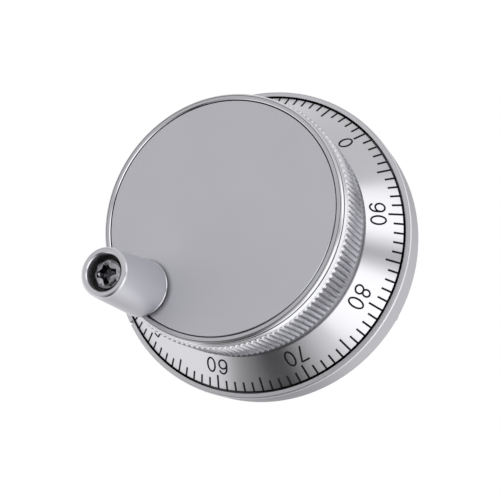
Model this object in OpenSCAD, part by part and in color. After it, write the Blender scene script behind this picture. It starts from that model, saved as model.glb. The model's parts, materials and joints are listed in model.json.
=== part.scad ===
// Pulse generator handwheel, 60 mm size, for a control panel.
//
// A fixed bezel and the housing behind it carry a shaft on two ball bearings.
// The wheel on the shaft is a knurled knob with a graduated dial cone and an
// off-centre handle that turns on its own spindle. Behind the panel the shaft
// carries a toothed rotor, which clicks magnetically against fixed yokes, and
// a slotted code disc, which an optical sensor reads.
//
// The pieces are drawn with the wheel facing +Z and stood up at the end, so
// that the wheel faces -Y. The origin is the centre of the bezel's rear face.

/* [Bezel] */
// Outer diameter of the bezel
bezel_d = 60; // [58:0.5:66]
// Height of the bezel in front of the panel
bezel_h = 5.95; // [5.6:0.05:7]
// Thickness of the bezel floor
bezel_floor_t = 3.2; // [2.8:0.1:3.6]
// Width of the rim around the dial
bezel_rim_w = 1; // [0.8:0.1:1.6]
// Rounding of the bezel's front edge
bezel_edge_r = 0.45; // [0.2:0.05:0.6]
// Angle of the index notch, counter-clockwise from the right
index_angle = 208.6; // [180:0.2:270]
// Width of the index notch
index_w = 0.7; // [0.4:0.1:1.2]
// Depth of the index notch
index_depth = 0.9; // [0.3:0.1:1]

/* [Panel fixing] */
// Distance of the tapped fixing holes from the bezel's edge
fixing_inset = 2.5; // [2:0.1:2.7]
// Number of fixing holes
fixing_count = 3; // [3:1:6]
// Tapping drill of a fixing hole
fixing_hole_d = 2.5; // [2:0.1:2.5]

/* [Dial] */
// Gap between the dial and the bezel
dial_gap = 0.4; // [0.25:0.05:0.6]
// Slope of the dial cone
dial_slope = 37.8; // [34:0.2:40]
// Thickness of the cone's wall, measured along the axis
dial_wall_t = 2; // [1.6:0.1:2.3]
// Height of the dial's cylindrical edge
dial_edge_h = 1.2; // [0.8:0.1:1.6]
// Ledge of the dial around the knob's foot
dial_ledge = 0.1; // [0.05:0.05:0.3]
// Thickness of the flange under the knob
dial_flange_t = 2.2; // [1.8:0.1:2.6]
// Width of the flange inside the knob's wall
dial_spigot_w = 1.4; // [1:0.1:2]
// Height by which the dial's spigot enters the knob
dial_spigot_h = 0.8; // [0.5:0.1:1.2]

/* [Knob] */
// Diameter over the knurl's crests
knurl_d = 46.2; // [45:0.1:48]
// Depth of the knurl
knurl_depth = 0.5; // [0.2:0.05:0.6]
// Number of knurl teeth
knurl_teeth = 144; // [96:4:160]
// Height of the knob from the dial to the rim
knob_h = 12.7; // [12:0.1:15]
// Height of the smooth foot below the knurl
knob_foot_h = 2.7; // [0.5:0.1:4]
// Height of the smooth band above the knurl
knob_band_h = 2; // [1.6:0.1:2.8]
// Distance of the band's groove below the rim
knob_groove_z = 0.8; // [0.7:0.05:1.2]
// Width of the band's groove
knob_groove_w = 0.3; // [0.2:0.05:0.4]
// Rounding of the rim's outer edge
knob_edge_r = 0.4; // [0.1:0.05:0.45]
// Width of the rim around the face plate
knob_rim_w = 1.25; // [1:0.05:2]
// Chamfer of the rim's inner edge
knob_rim_c = 0.15; // [0.05:0.05:0.3]
// Diameter of the hollow in the knob
knob_hollow_d = 28; // [26:0.5:29]
// Thickness of the knob's web under the face plate
knob_web_t = 3.4; // [3:0.1:4]
// Diameter of the knob's hub
knob_hub_d = 14; // [12:0.5:15]

/* [Face plate] */
// Gap around the face plate
face_side_gap = 0.1; // [0.05:0.05:0.2]
// Thickness of the face plate
face_t = 1.2; // [1:0.1:1.5]
// Depth of the face plate below the rim
face_recess = 0.12; // [0.02:0.02:0.6]
// Chamfer of the face plate's edge
face_edge_c = 0.15; // [0.05:0.05:0.3]

/* [Handle] */
// Distance of the handle's axis from the rim's outside
handle_inset = 4; // [3.9:0.1:5]
// Gap between the handle and the rim
handle_lift = 0.24; // [0.2:0.02:0.6]
// Length of the handle
handle_len = 13; // [11:0.1:16]
// Diameter of the handle at its base
handle_base_d = 10.25; // [9.4:0.05:10.6]
// Diameter of the handle at its tip
handle_tip_d = 8.6; // [8.2:0.1:9.2]
// Diameter of the bore through the handle
handle_bore_d = 6.4; // [6:0.1:6.6]
// Rounding of the handle's tip
handle_tip_r = 0.5; // [0.2:0.05:0.5]
// Chamfer of the handle's base
handle_base_c = 0.3; // [0.1:0.05:0.5]
// Chamfer of the bore at the tip
handle_bore_c = 0.2; // [0.1:0.05:0.3]
// Diameter of the spindle's shoulder
spindle_d = 3.5; // [3.4:0.1:4]
// Diameter of the spindle's head
spindle_head_d = 5.3; // [4.5:0.1:5.8]
// Height of the spindle's head
spindle_head_h = 1.9; // [1.5:0.1:2.2]
// Depth of the head below the handle's tip
spindle_sink = 0.5; // [0.3:0.1:1.6]
// Nominal diameter of the spindle's thread
spindle_thread_d = 3; // [2.5:0.1:3]
// Length of thread in the knob
spindle_thread_l = 7; // [5:0.5:9]

/* [Shaft and bearings] */
// Diameter of the shaft
shaft_d = 6; // [5.8:0.1:6.2]
// Depth of the flat on the shaft's front end
shaft_flat = 0.6; // [0.4:0.1:0.8]
// Diameter of the collar that carries the knob
shaft_collar_d = 8.2; // [7.8:0.1:8.4]
// Thickness of the collar
shaft_collar_t = 1.5; // [1.2:0.1:2]
// Outer diameter of a bearing
bearing_d = 13; // [12.8:0.1:13.4]
// Width of a bearing
bearing_w = 5; // [4.5:0.1:5.5]
// Distance between the bearings
bearing_gap = 4; // [3:0.5:5]
// Height of the front bearing's face above the panel
bearing_front_z = 11; // [10.6:0.1:11.4]
// Diameter of a ball
ball_d = 2; // [1.8:0.1:2.1]
// Number of balls in a bearing
ball_count = 8; // [6:1:9]

/* [Housing] */
// Outer diameter of the housing
housing_d = 48.6; // [48:0.2:49.6]
// Room between the end of the shaft and the circuit board
rear_room = 0.9; // [0.5:0.1:7]
// Thickness of the housing's side wall
housing_wall_t = 3.7; // [3.6:0.1:4]
// Thickness of the housing's front wall
housing_front_t = 2.4; // [2:0.1:3]
// Thickness of the tube around the bearings
tube_wall_t = 2.2; // [1.8:0.1:2.6]
// Radius at which the bezel is screwed to the housing
housing_screw_r = 15; // [14:0.5:16]

/* [Clicks and code disc] */
// Number of clicks and of slots in a turn
pulses = 100; // [50:10:100]
// Width of the yoke rings
yoke_w = 2.3; // [2:0.1:3]
// Air gap between the click rotor and the yokes
click_gap = 0.25; // [0.15:0.05:0.4]
// Depth of a click tooth
click_tooth_h = 0.6; // [0.4:0.1:0.8]
// Thickness of one yoke
yoke_t = 1; // [0.8:0.1:1.2]
// Thickness of the ring magnet between the yokes
magnet_t = 1.5; // [1.2:0.1:2]
// Distance of the click yokes behind the panel
click_z = 4.9; // [4.7:0.1:5.2]
// Distance of the code disc's edge from the housing's inside
disc_inset = 4.6; // [4.4:0.1:5.4]
// Thickness of the code disc
disc_t = 0.3; // [0.2:0.05:0.4]
// Length of a slot along the radius
slot_l = 1.8; // [1.4:0.1:2.2]
// Part of the pitch that a slot takes
slot_share = 0.5; // [0.3:0.05:0.6]

/* [Rear cover and terminals] */
// Thickness of the cover's flange
cover_t = 1.6; // [1.4:0.1:3]
// Chamfer of the cover's edge
cover_edge_c = 0.3; // [0.1:0.1:0.6]
// Height of the terminal block
block_h = 3; // [2.6:0.1:4]
// Width of the terminal block
block_w = 11; // [10:0.5:13]
// Number of terminals
terminal_count = 4; // [2:1:5]
// Distance between two terminals
terminal_pitch = 8; // [7.6:0.1:8.4]
// Thickness of a rib between two terminals
rib_t = 1.4; // [1:0.1:1.6]
// Height of a rib above the block
rib_h = 3.2; // [2:0.1:4]
// Thickness of the circuit board
board_t = 1.6; // [1.2:0.1:2]

/* [Hidden] */

$fn = 72;

// Clearances and overlaps
seat = 0.02;     // radial clearance of pieces that sit in one another
running = 0.03;  // radial clearance of the handle's bush
hole_play = 0.1; // radial clearance of a screw in a through hole
play = 0.1;      // axial play of the handle
cut = 1;         // overshoot of a cutting body

// Wheel position as drawn: the dial's zero stands here, the handle opposite
wheel_turn = 39.4;

// Bezel and dial
bezel_r = bezel_d / 2;
bezel_in_r = bezel_r - bezel_rim_w;
dial_r = bezel_in_r - dial_gap;
fixing_r = bezel_r - fixing_inset;
knurl_r = knurl_d / 2;
root_r = knurl_r - knurl_depth;
dial_top_r = root_r + dial_ledge;
dial_top_z = bezel_h + (dial_r - dial_top_r) * tan(dial_slope);
dial_flange_z = dial_top_z - dial_flange_t;

// Knob, face plate and hub
rim_z = dial_top_z + knob_h;
rim_in_r = root_r - knob_rim_w;
face_r = rim_in_r - face_side_gap;
face_z = rim_z - face_recess;
recess_z = face_z - face_t;
knurl_top_z = rim_z - knob_band_h;
knurl_low_z = dial_top_z + knob_foot_h;
hollow_r = knob_hollow_d / 2;
hollow_top_z = recess_z - knob_web_t;
spigot_r = hollow_r - dial_spigot_w;
dial_screw_r = (hollow_r + root_r) / 2;
dial_screw_d = 2.5;
dial_screw_head_d = 4.5;
dial_screw_head_h = 1.5;
dial_screw_l = 7;

// Hub screw in the end of the shaft
hub_screw_d = 3;
hub_screw_head_d = 5.6;
hub_screw_head_h = 2.2;
hub_screw_l = 9;
hub_washer_d = 7;
hub_washer_t = 0.5;
hub_sink_h = 3.6;
hub_sink_z = recess_z - hub_sink_h;
hub_sink_r = hub_washer_d / 2 + 0.5;
collar_z = bearing_front_z;
hub_z = collar_z + shaft_collar_t;
shaft_front_z = hub_sink_z - 1.4;
shaft_r = shaft_d / 2;

// Handle and its spindle
handle_offset = root_r - handle_inset;
handle_z = rim_z + handle_lift;
handle_tip_z = handle_z + handle_len;
head_z = handle_tip_z - spindle_sink - spindle_head_h;
bush_top_z = head_z - play;
washer_top_z = handle_z - play;
spindle_r = spindle_d / 2;
spindle_thread_r = spindle_thread_d / 2;
handle_washer_d = 5.6;

// Bearings
bearing_r = bearing_d / 2;
bearing_1_z = bearing_front_z - bearing_w;
bearing_2_z = bearing_1_z - bearing_gap - bearing_w;
bearing_zs = [bearing_1_z, bearing_2_z];
pitch_r = (shaft_r + bearing_r) / 2;
ball_r = ball_d / 2;
race_gap = 0.01;
inner_ring_r = pitch_r - ball_r * 0.8;
outer_ring_r = pitch_r + ball_r * 0.8;
cage_w = ball_r * 0.7;
cage_h = ball_d * 1.4;
ball_play = 0.05;
shield_t = 0.25;
shield_seat = 0.3;
spring_h = 0.8;
spring_t = 0.3;
shoulder_r = outer_ring_r;

// Housing
housing_r = housing_d / 2;
housing_in_r = housing_r - housing_wall_t;
tube_r = bearing_r + tube_wall_t;
tube_front_z = bearing_front_z + 0.2;
tube_rear_z = bearing_2_z - 0.4;
step_w = 0.9;
housing_screw_count = 3;
housing_screw_turn = 30;
housing_screw_d = 3;
housing_recess_w = 3;
housing_recess_h = 1.2;
housing_screw_head_d = 5.6;
housing_boss_r = 3.2;
housing_boss_z = -click_z + 0.7;
housing_screw_l = bezel_floor_t - housing_boss_z - 0.4;

// Parts behind the bearings, from the front to the rear
clip_t = 0.5;
clip_groove_r = shaft_r - 0.6;
clip_r = shaft_r + 1.7;
clip_z = bearing_2_z - clip_t;
disc_hub_r = 6;
disc_flange_r = 9;
hub_front_z = -click_z + 0.6;
yoke_in_r = housing_in_r - yoke_w;
click_r = yoke_in_r - click_gap;
click_stack_t = 2 * yoke_t + magnet_t;
click_rear_z = -click_z - click_stack_t;
click_web_t = 1.2;
click_rim_w = 2.6;
web_hole_gap = 0.8;
web_hole_r = (click_r - click_rim_w - disc_flange_r) / 2 - web_hole_gap;
web_hole_pos = (disc_flange_r + click_r - click_rim_w) / 2;
disc_flange_t = 3;
disc_front_z = click_rear_z - disc_flange_t;
disc_rear_z = disc_front_z - disc_t;
disc_r = housing_in_r - disc_inset;
slot_inset = 1.5;
slot_r = disc_r - slot_inset;
slot_w = 2 * PI * (slot_r - slot_l) / pulses * slot_share;
clamp_t = 0.9;
clamp_rear_z = disc_rear_z - clamp_t;
disc_screw_r = (disc_hub_r + disc_flange_r) / 2;
disc_screw_d = 1.6;
disc_screw_head_d = 2.6;
disc_screw_head_h = 0.7;
disc_screw_l = clamp_t + disc_t + 2;
shaft_overhang = 1.1;
shaft_rear_z = clamp_rear_z - shaft_overhang;

// Grub screws of the hub
grub_r = 1;
grub_inset = 0.3;
grub_socket_h = 1;
grub_z = (hub_front_z + click_rear_z + click_web_t) / 2;

// Circuit board, cover and terminals
cover_plug_t = 1.8;
board_front_z = shaft_rear_z - rear_room;
board_z = board_front_z - board_t;
board_r = housing_in_r - hole_play;
spacer_w = 1.8;
cover_z = board_z - cover_plug_t;
housing_len = -cover_z;
cover_r = housing_r - 0.3;
cover_wall_t = 2;
cover_rear_z = cover_z - cover_t;
block_rear_z = cover_rear_z - block_h;
cover_screw_r = (housing_in_r + housing_r) / 2;
cover_screw_d = 2;
cover_screw_head_d = 3.4;
cover_screw_head_h = 1.3;
cover_screw_l = 7;
insert_r = 2.4;
tail_r = 0.5;
clamp_w = 6;
clamp_plate_t = 0.8;
terminal_d = 3;
terminal_head_d = 5.5;
terminal_head_h = 2;
terminal_screw_l = 4;
sensor_w = 8;
sensor_in_r = slot_r - slot_l - 1;
sensor_gap = 0.5;
sensor_back_t = 1.6;
sensor_out_r = disc_r + sensor_gap + sensor_back_t;
sensor_low_gap = 0.7;
parts_r = (disc_flange_r + housing_in_r - spacer_w) / 2;
chip_w = 5;
chip_d = 4;
chip_h = 1.5;
capacitor_w = 2;
capacitor_d = 1.2;
capacitor_h = 1;
capacitor_angle = 40;

// Copies of the children at equal angles
module around(count, first = 0)
    for (i = [0:count - 1])
        rotate(first + i * 360 / count)
            children();

// Children moved to a radius and angle
module at(radius, angle)
    rotate(angle)
        translate([radius, 0, 0])
            children();

// Tube between two heights
module ring(outer, inner, low, high)
    translate([0, 0, low])
        difference() {
            cylinder(r = outer, h = high - low);
            translate([0, 0, -cut])
                cylinder(r = inner, h = high - low + 2 * cut);
        }

// Rod between two heights
module rod(radius, low, high)
    translate([0, 0, low])
        cylinder(r = radius, h = high - low);

// Toothed outline: teeth that take a share of the pitch at their root and at their tip
function teeth(count, root, tip, root_share, tip_share) =
    let (tooth = [[-root_share, root], [-tip_share, tip], [tip_share, tip], [root_share, root]])
    [for (i = [0:count - 1], corner = tooth)
        let (angle = (i + corner[0] / 2) * 360 / count)
        [corner[1] * cos(angle), corner[1] * sin(angle)]];

// Knurl outline: plain zigzag between crest and root
function zigzag(count, inner, outer) = [
    for (i = [0:2 * count - 1])
        let (radius = i % 2 == 0 ? outer : inner, angle = i * 180 / count)
        [radius * cos(angle), radius * sin(angle)]];

// Quarter circle of points for a rounded edge in a revolved profile
function edge_arc(x, z, r, from, steps = 8) = [
    for (i = [0:steps])
        [x + r * cos(from + i * 90 / steps), z + r * sin(from + i * 90 / steps)]];

// Bezel: shallow cup with tapped holes in its floor and an index notch in its rim
module bezel() color([0.72, 0.72, 0.74])
    difference() {
        rotate_extrude($fn = 144)
            polygon(concat(
                [[tube_r + seat, 0], [bezel_r, 0]],
                edge_arc(bezel_r - bezel_edge_r, bezel_h - bezel_edge_r, bezel_edge_r, 0),
                [[bezel_in_r, bezel_h], [bezel_in_r, bezel_floor_t], [tube_r + seat, bezel_floor_t]]));
        around(fixing_count, 90)
            translate([fixing_r, 0, -cut])
                cylinder(d = fixing_hole_d, h = bezel_floor_t + 2 * cut);
        around(housing_screw_count, housing_screw_turn)
            translate([housing_screw_r, 0, 0])
                countersunk_hole();
        at(bezel_r - index_depth, index_angle)
            translate([0, -index_w / 2, bezel_floor_t])
                cube([index_depth + cut, index_w, bezel_h]);
    }

// Hole for a countersunk housing screw, open to the front of the bezel floor
module countersunk_hole() {
    rod(housing_screw_d / 2 + hole_play, -cut, bezel_floor_t);
    translate([0, 0, bezel_floor_t - housing_screw_head_d / 2 + housing_screw_d / 2])
        cylinder(r1 = housing_screw_d / 2, r2 = housing_screw_head_d / 2 + hole_play,
            h = housing_screw_head_d / 2 - housing_screw_d / 2 + 0.001);
}

// Countersunk screws that hold the bezel to the housing
module housing_screws() color([0.35, 0.35, 0.37])
    around(housing_screw_count, housing_screw_turn)
        translate([housing_screw_r, 0, bezel_floor_t])
            difference() {
                union() {
                    rod(housing_screw_d / 2, -housing_screw_l, -0.2);
                    translate([0, 0, -(housing_screw_head_d - housing_screw_d) / 2])
                        cylinder(r1 = housing_screw_d / 2, r2 = housing_screw_head_d / 2,
                            h = (housing_screw_head_d - housing_screw_d) / 2);
                }
                cross_recess(housing_recess_w, housing_recess_h);
            }

// Cross recess sunk from z = 0: two tapered slots
module cross_recess(span, depth)
    for (turn = [0, 90])
        rotate([90, 0, turn])
            linear_extrude(height = span * 0.22, center = true)
                polygon([[-span / 2, cut], [-span / 2, 0], [-span / 5, -depth],
                    [span / 5, -depth], [span / 2, 0], [span / 2, cut]]);

// Pan-head screw pointing to -Z with the underside of its head at z = 0
module pan_screw(thread_d, length, head_d, head_h) difference() {
    union() {
        rod(thread_d / 2, -length, head_h / 2);
        pan_head(head_d, head_h);
    }
    translate([0, 0, head_h])
        cross_recess(head_d * 0.62, head_h * 0.6);
}

// Domed head standing on z = 0
module pan_head(head_d, head_h)
    let (sphere_r = head_d * 0.75)
    intersection() {
        rod(head_d / 2, 0, head_h);
        translate([0, 0, head_h - sphere_r])
            sphere(r = sphere_r);
    }

// Housing: cup behind the panel with the bearing tube through its front wall
module housing() color([0.16, 0.16, 0.17])
    difference() {
        union() {
            rotate_extrude($fn = 144)
                polygon([[tube_r - cut / 2, -housing_front_t], [tube_r - cut / 2, 0], [housing_r, 0],
                    [housing_r, -housing_len], [housing_in_r, -housing_len], [housing_in_r, -click_z],
                    [housing_in_r - step_w, -click_z], [housing_in_r - step_w, -housing_front_t]]);
            rod(tube_r, tube_rear_z, tube_front_z);
            around(housing_screw_count, housing_screw_turn)
                translate([housing_screw_r, 0, 0])
                    rod(housing_boss_r, housing_boss_z, -cut);
        }
        rod(bearing_r, bearing_1_z, tube_front_z + cut);
        rod(bearing_r, tube_rear_z - cut, bearing_2_z + bearing_w + spring_h);
        rod(shoulder_r, tube_rear_z, tube_front_z);
        around(housing_screw_count, housing_screw_turn)
            translate([housing_screw_r, 0, 0])
                rod(housing_screw_d / 2 + seat, housing_boss_z - cut, cut);
        around(3, 90)
            translate([cover_screw_r, 0, -housing_len])
                rod(cover_screw_d / 2 + seat, -cut, cover_screw_l);
    }

// Outer rings of both bearings, grooved for the balls and stepped for the shields
module bearing_outer_rings() color([0.75, 0.76, 0.78])
    for (z = bearing_zs)
        translate([0, 0, z])
            difference() {
                rod(bearing_r - seat / 2, 0, bearing_w);
                rod(outer_ring_r, -cut, bearing_w + cut);
                for (low = [-cut, bearing_w - shield_t])
                    rod(outer_ring_r + shield_seat, low, low + cut + shield_t);
                race();
            }

// Groove in which the balls run
module race()
    translate([0, 0, bearing_w / 2])
        rotate_extrude()
            translate([pitch_r, 0])
                circle(r = ball_r + race_gap, $fn = 48);

// Inner rings of both bearings, on the shaft
module bearing_inner_rings() color([0.75, 0.76, 0.78])
    for (z = bearing_zs)
        translate([0, 0, z])
            difference() {
                ring(inner_ring_r, shaft_r + seat / 2, 0, bearing_w);
                race();
            }

module bearing_balls() color([0.85, 0.86, 0.88])
    for (z = bearing_zs)
        around(ball_count)
            translate([pitch_r, 0, z + bearing_w / 2])
                sphere(d = ball_d, $fn = 48);

// Cages: thin rings with a round pocket for each ball
module bearing_cages() color([0.80, 0.66, 0.32])
    for (z = bearing_zs)
        translate([0, 0, z + bearing_w / 2])
            difference() {
                ring(pitch_r + cage_w / 2, pitch_r - cage_w / 2, -cage_h / 2, cage_h / 2);
                around(ball_count)
                    rotate([0, 90, 0])
                        rod(ball_r + ball_play, pitch_r - cage_w, pitch_r + cage_w);
            }

// Sheet shields on both sides of each bearing
module bearing_shields() color([0.62, 0.63, 0.65])
    for (z = bearing_zs, low = [0, bearing_w - shield_t])
        translate([0, 0, z])
            ring(outer_ring_r + shield_seat, inner_ring_r + 0.15, low, low + shield_t);

// Sleeve that keeps the inner rings apart
module bearing_sleeve() color([0.70, 0.71, 0.73])
    ring(inner_ring_r - 0.1, shaft_r + seat, bearing_1_z - bearing_gap, bearing_1_z);

// Wave spring that loads the rear bearing, with three waves in a turn
module wave_spring() color([0.55, 0.56, 0.58]) {
    steps = 72;
    outer = bearing_r - 0.2;
    inner = outer_ring_r + 0.1;
    middle = bearing_2_z + bearing_w + spring_h / 2;
    swing = (spring_h - spring_t) / 2;
    points = [for (i = [0:steps - 1], corner = [[inner, -1], [outer, -1], [outer, 1], [inner, 1]])
        let (a = i * 360 / steps)
        [corner[0] * cos(a), corner[0] * sin(a), middle + swing * sin(3 * a) + corner[1] * spring_t / 2]];
    faces = [for (i = [0:steps - 1], k = [0:3])
        let (j = (i + 1) % steps, m = (k + 1) % 4)
        [4 * i + k, 4 * i + m, 4 * j + m, 4 * j + k]];
    polyhedron(points = points, faces = faces);
}

// Shaft with its collar, the flat for the knob and the groove for the retaining ring
module shaft() color([0.80, 0.81, 0.83])
    difference() {
        union() {
            rod(shaft_r, shaft_rear_z, shaft_front_z);
            rod(shaft_collar_d / 2, collar_z, hub_z);
        }
        ring(shaft_r + cut, clip_groove_r, clip_z, clip_z + clip_t);
        rod(hub_screw_d / 2 + seat, shaft_front_z - hub_screw_l, shaft_front_z + cut);
        translate([shaft_r - shaft_flat, -shaft_r, hub_z])
            cube([shaft_d, shaft_d, shaft_front_z - hub_z + cut]);
    }

// Retaining ring, open on one side
module retaining_ring() color([0.30, 0.30, 0.32])
    difference() {
        ring(clip_r, clip_groove_r + seat, clip_z + seat, clip_z + clip_t - seat);
        translate([0, -clip_groove_r * 0.7, clip_z - cut])
            cube([clip_r + cut, clip_groove_r * 1.4, clip_t + 2 * cut]);
    }

// Hub that carries the click rotor and the code disc
module disc_hub() color([0.82, 0.68, 0.38])
    difference() {
        union() {
            rod(disc_hub_r, clamp_rear_z, hub_front_z);
            rod(disc_flange_r, disc_front_z, click_rear_z);
        }
        rod(shaft_r + seat, clamp_rear_z - cut, hub_front_z + cut);
        for (turn = [0, 90])
            rotate(turn)
                translate([0, 0, grub_z])
                    rotate([0, 90, 0])
                        cylinder(r = grub_r + seat, h = disc_hub_r + cut);
        around(3)
            translate([disc_screw_r, 0, disc_front_z - cut])
                cylinder(r = disc_screw_d / 2 + seat, h = cut + disc_flange_t - 0.4);
    }

// Grub screws that hold the hub on the shaft
module hub_grub_screws() color([0.25, 0.25, 0.27])
    for (turn = [0, 90])
        rotate(turn)
            translate([0, 0, grub_z])
                rotate([0, 90, 0])
                    difference() {
                        rod(grub_r, shaft_r + seat, disc_hub_r - grub_inset);
                        translate([0, 0, disc_hub_r - grub_inset - grub_socket_h])
                            cylinder(r = grub_r / 2, h = grub_socket_h + cut, $fn = 6);
                    }

// Click rotor: toothed rim on a perforated web
module click_rotor() color([0.58, 0.59, 0.61])
    difference() {
        translate([0, 0, click_rear_z])
            linear_extrude(height = click_stack_t)
                polygon(teeth(pulses, click_r - click_tooth_h, click_r, 0.6, 0.4));
        rod(click_r - click_rim_w, click_rear_z + click_web_t, -click_z + cut);
        rod(disc_hub_r + seat, click_rear_z - cut, -click_z + cut);
        around(6)
            translate([web_hole_pos, 0, click_rear_z - cut])
                cylinder(r = web_hole_r, h = click_web_t + 2 * cut);
    }

// Yokes: two rings with the same teeth on their inside
module click_yokes() color([0.50, 0.51, 0.53])
    for (low = [click_rear_z, click_rear_z + yoke_t + magnet_t])
        translate([0, 0, low])
            linear_extrude(height = yoke_t)
                difference() {
                    circle(r = housing_in_r - seat, $fn = 144);
                    rotate(index_angle + 180 / pulses)
                        polygon(teeth(pulses, yoke_in_r, yoke_in_r + click_tooth_h, 0.6, 0.4));
                }

module click_magnet() color([0.22, 0.22, 0.24])
    ring(housing_in_r - seat, yoke_in_r + click_tooth_h, click_rear_z + yoke_t,
        click_rear_z + yoke_t + magnet_t);

// Code disc with one slot for each pulse
module code_disc() color([0.66, 0.67, 0.70])
    difference() {
        ring(disc_r, disc_hub_r + seat, disc_rear_z, disc_front_z);
        around(pulses)
            translate([slot_r - slot_l, -slot_w / 2, disc_rear_z - cut])
                cube([slot_l, slot_w, disc_t + 2 * cut]);
        around(3)
            translate([disc_screw_r, 0, disc_rear_z - cut])
                cylinder(r = disc_screw_d / 2 + seat, h = disc_t + 2 * cut);
    }

// Ring that clamps the code disc on its hub
module disc_clamp() color([0.82, 0.68, 0.38])
    difference() {
        ring(disc_flange_r, disc_hub_r + seat, clamp_rear_z, disc_rear_z);
        around(3)
            translate([disc_screw_r, 0, clamp_rear_z - cut])
                cylinder(r = disc_screw_d / 2 + seat, h = clamp_t + 2 * cut);
    }

module disc_screws() color([0.45, 0.45, 0.47])
    around(3)
        translate([disc_screw_r, 0, clamp_rear_z])
            mirror([0, 0, 1])
                pan_screw(disc_screw_d, disc_screw_l, disc_screw_head_d, disc_screw_head_h);

// Spacer that presses the yokes forward and carries the circuit board
module spacer_ring() color([0.20, 0.20, 0.22])
    ring(housing_in_r - hole_play, housing_in_r - spacer_w, board_front_z, click_rear_z);

// Circuit board with a hole for the tail of each terminal
module circuit_board() color([0.10, 0.36, 0.18])
    difference() {
        rod(board_r, board_z, board_front_z);
        terminal_row()
            rod(tail_r + hole_play, board_z - cut, board_front_z + cut);
    }

// Fork-shaped optical sensor around the edge of the code disc
module sensor_block() color([0.08, 0.08, 0.09])
    rotate(90)
        difference() {
            translate([sensor_in_r, -sensor_w / 2, board_front_z])
                cube([sensor_out_r - sensor_in_r, sensor_w, click_rear_z - sensor_gap - board_front_z]);
            translate([sensor_in_r - cut, -sensor_w / 2 - cut, disc_rear_z - sensor_low_gap])
                cube([disc_r + sensor_gap - sensor_in_r + cut, sensor_w + 2 * cut,
                    disc_t + 2 * sensor_low_gap]);
        }

module driver_chip() color([0.05, 0.05, 0.06])
    translate([-chip_w / 2, -parts_r - chip_d / 2, board_front_z])
        cube([chip_w, chip_d, chip_h]);

module capacitors() color([0.70, 0.55, 0.30])
    for (turn = [-90 - capacitor_angle, -90 + capacitor_angle])
        at(parts_r, turn)
            translate([-capacitor_d / 2, -capacitor_w / 2, board_front_z])
                cube([capacitor_d, capacitor_w, capacitor_h]);

// Children at each terminal's place, in a straight row
module terminal_row()
    for (i = [0:terminal_count - 1])
        translate([(i - (terminal_count - 1) / 2) * terminal_pitch, 0, 0])
            children();

// Rear cover with the raised terminal block and the ribs between the terminals
module rear_cover() color([0.07, 0.07, 0.08]) {
    block_l = terminal_count * terminal_pitch + rib_t;
    difference() {
        union() {
            rotate_extrude($fn = 144)
                polygon([[0, board_z], [board_r, board_z], [board_r, cover_z], [cover_r, cover_z],
                    [cover_r, cover_rear_z + cover_edge_c], [cover_r - cover_edge_c, cover_rear_z],
                    [0, cover_rear_z]]);
            translate([-block_l / 2, -block_w / 2, block_rear_z])
                cube([block_l, block_w, block_h + cut]);
            for (i = [0:terminal_count])
                translate([(i - terminal_count / 2) * terminal_pitch - rib_t / 2, -block_w / 2,
                    block_rear_z - rib_h])
                    cube([rib_t, block_w, rib_h + cut]);
        }
        terminal_row()
            union() {
                rod(insert_r + seat, block_rear_z - cut, cover_rear_z);
                rod(tail_r + hole_play, cover_rear_z - cut, board_z + cut);
            }
        rod(board_r - cover_wall_t, cover_z + cover_wall_t / 4, board_z + cut);
        around(3, 90)
            translate([cover_screw_r, 0, 0])
                rod(cover_screw_d / 2 + hole_play, cover_rear_z - cut, cover_z + cut);
    }
}

module cover_screws() color([0.45, 0.45, 0.47])
    around(3, 90)
        translate([cover_screw_r, 0, cover_rear_z])
            mirror([0, 0, 1])
                pan_screw(cover_screw_d, cover_screw_l, cover_screw_head_d, cover_screw_head_h);

// Brass inserts of the terminals, each with a tail soldered to the board
module terminal_inserts() color([0.80, 0.66, 0.32])
    terminal_row()
        difference() {
            union() {
                rod(insert_r, block_rear_z, cover_rear_z);
                rod(tail_r, cover_rear_z - cut / 2, board_front_z + 0.4);
            }
            rod(terminal_d / 2 + seat, block_rear_z - cut, cover_rear_z - 0.8);
        }

// Square plates that clamp the wires
module terminal_clamps() color([0.72, 0.73, 0.75])
    terminal_row()
        difference() {
            translate([-clamp_w / 2, -clamp_w / 2, block_rear_z - clamp_plate_t])
                cube([clamp_w, clamp_w, clamp_plate_t]);
            rod(terminal_d / 2 + hole_play, block_rear_z - clamp_plate_t - cut, block_rear_z + cut);
        }

module terminal_screws() color([0.74, 0.75, 0.77])
    terminal_row()
        translate([0, 0, block_rear_z - clamp_plate_t])
            mirror([0, 0, 1])
                pan_screw(terminal_d, clamp_plate_t + block_h - 1, terminal_head_d, terminal_head_h);

// Knob: knurled wall, web with the recess for the face plate, and hub
module knob() color([0.70, 0.70, 0.72])
    difference() {
        union() {
            difference() {
                knob_outside();
                rod(hollow_r, dial_top_z - cut, hollow_top_z);
            }
            rod(knob_hub_d / 2, hub_z, hollow_top_z + cut);
        }
        rod(rim_in_r, recess_z, rim_z + cut);
        translate([0, 0, rim_z - knob_rim_c])
            cylinder(r1 = rim_in_r, r2 = rim_in_r + knob_rim_c + cut, h = knob_rim_c + cut);
        rod(hub_sink_r, hub_sink_z, recess_z + cut);
        rod(hub_screw_d / 2 + hole_play, shaft_front_z, hub_sink_z + cut);
        intersection() {
            rod(shaft_r + seat, hub_z - cut, shaft_front_z + 0.4);
            translate([-shaft_d, -shaft_d, hub_z - cut])
                cube([shaft_d + shaft_r - shaft_flat + seat, 2 * shaft_d, shaft_front_z - hub_z + 2 * cut]);
        }
        at(handle_offset, 180)
            rod(spindle_thread_r + seat, recess_z - spindle_thread_l - 0.5, recess_z + cut);
        around(3)
            translate([dial_screw_r, 0, dial_top_z - cut])
                cylinder(r = dial_screw_d / 2 + seat, h = cut + dial_screw_l - dial_flange_t + 0.5);
    }

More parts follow.
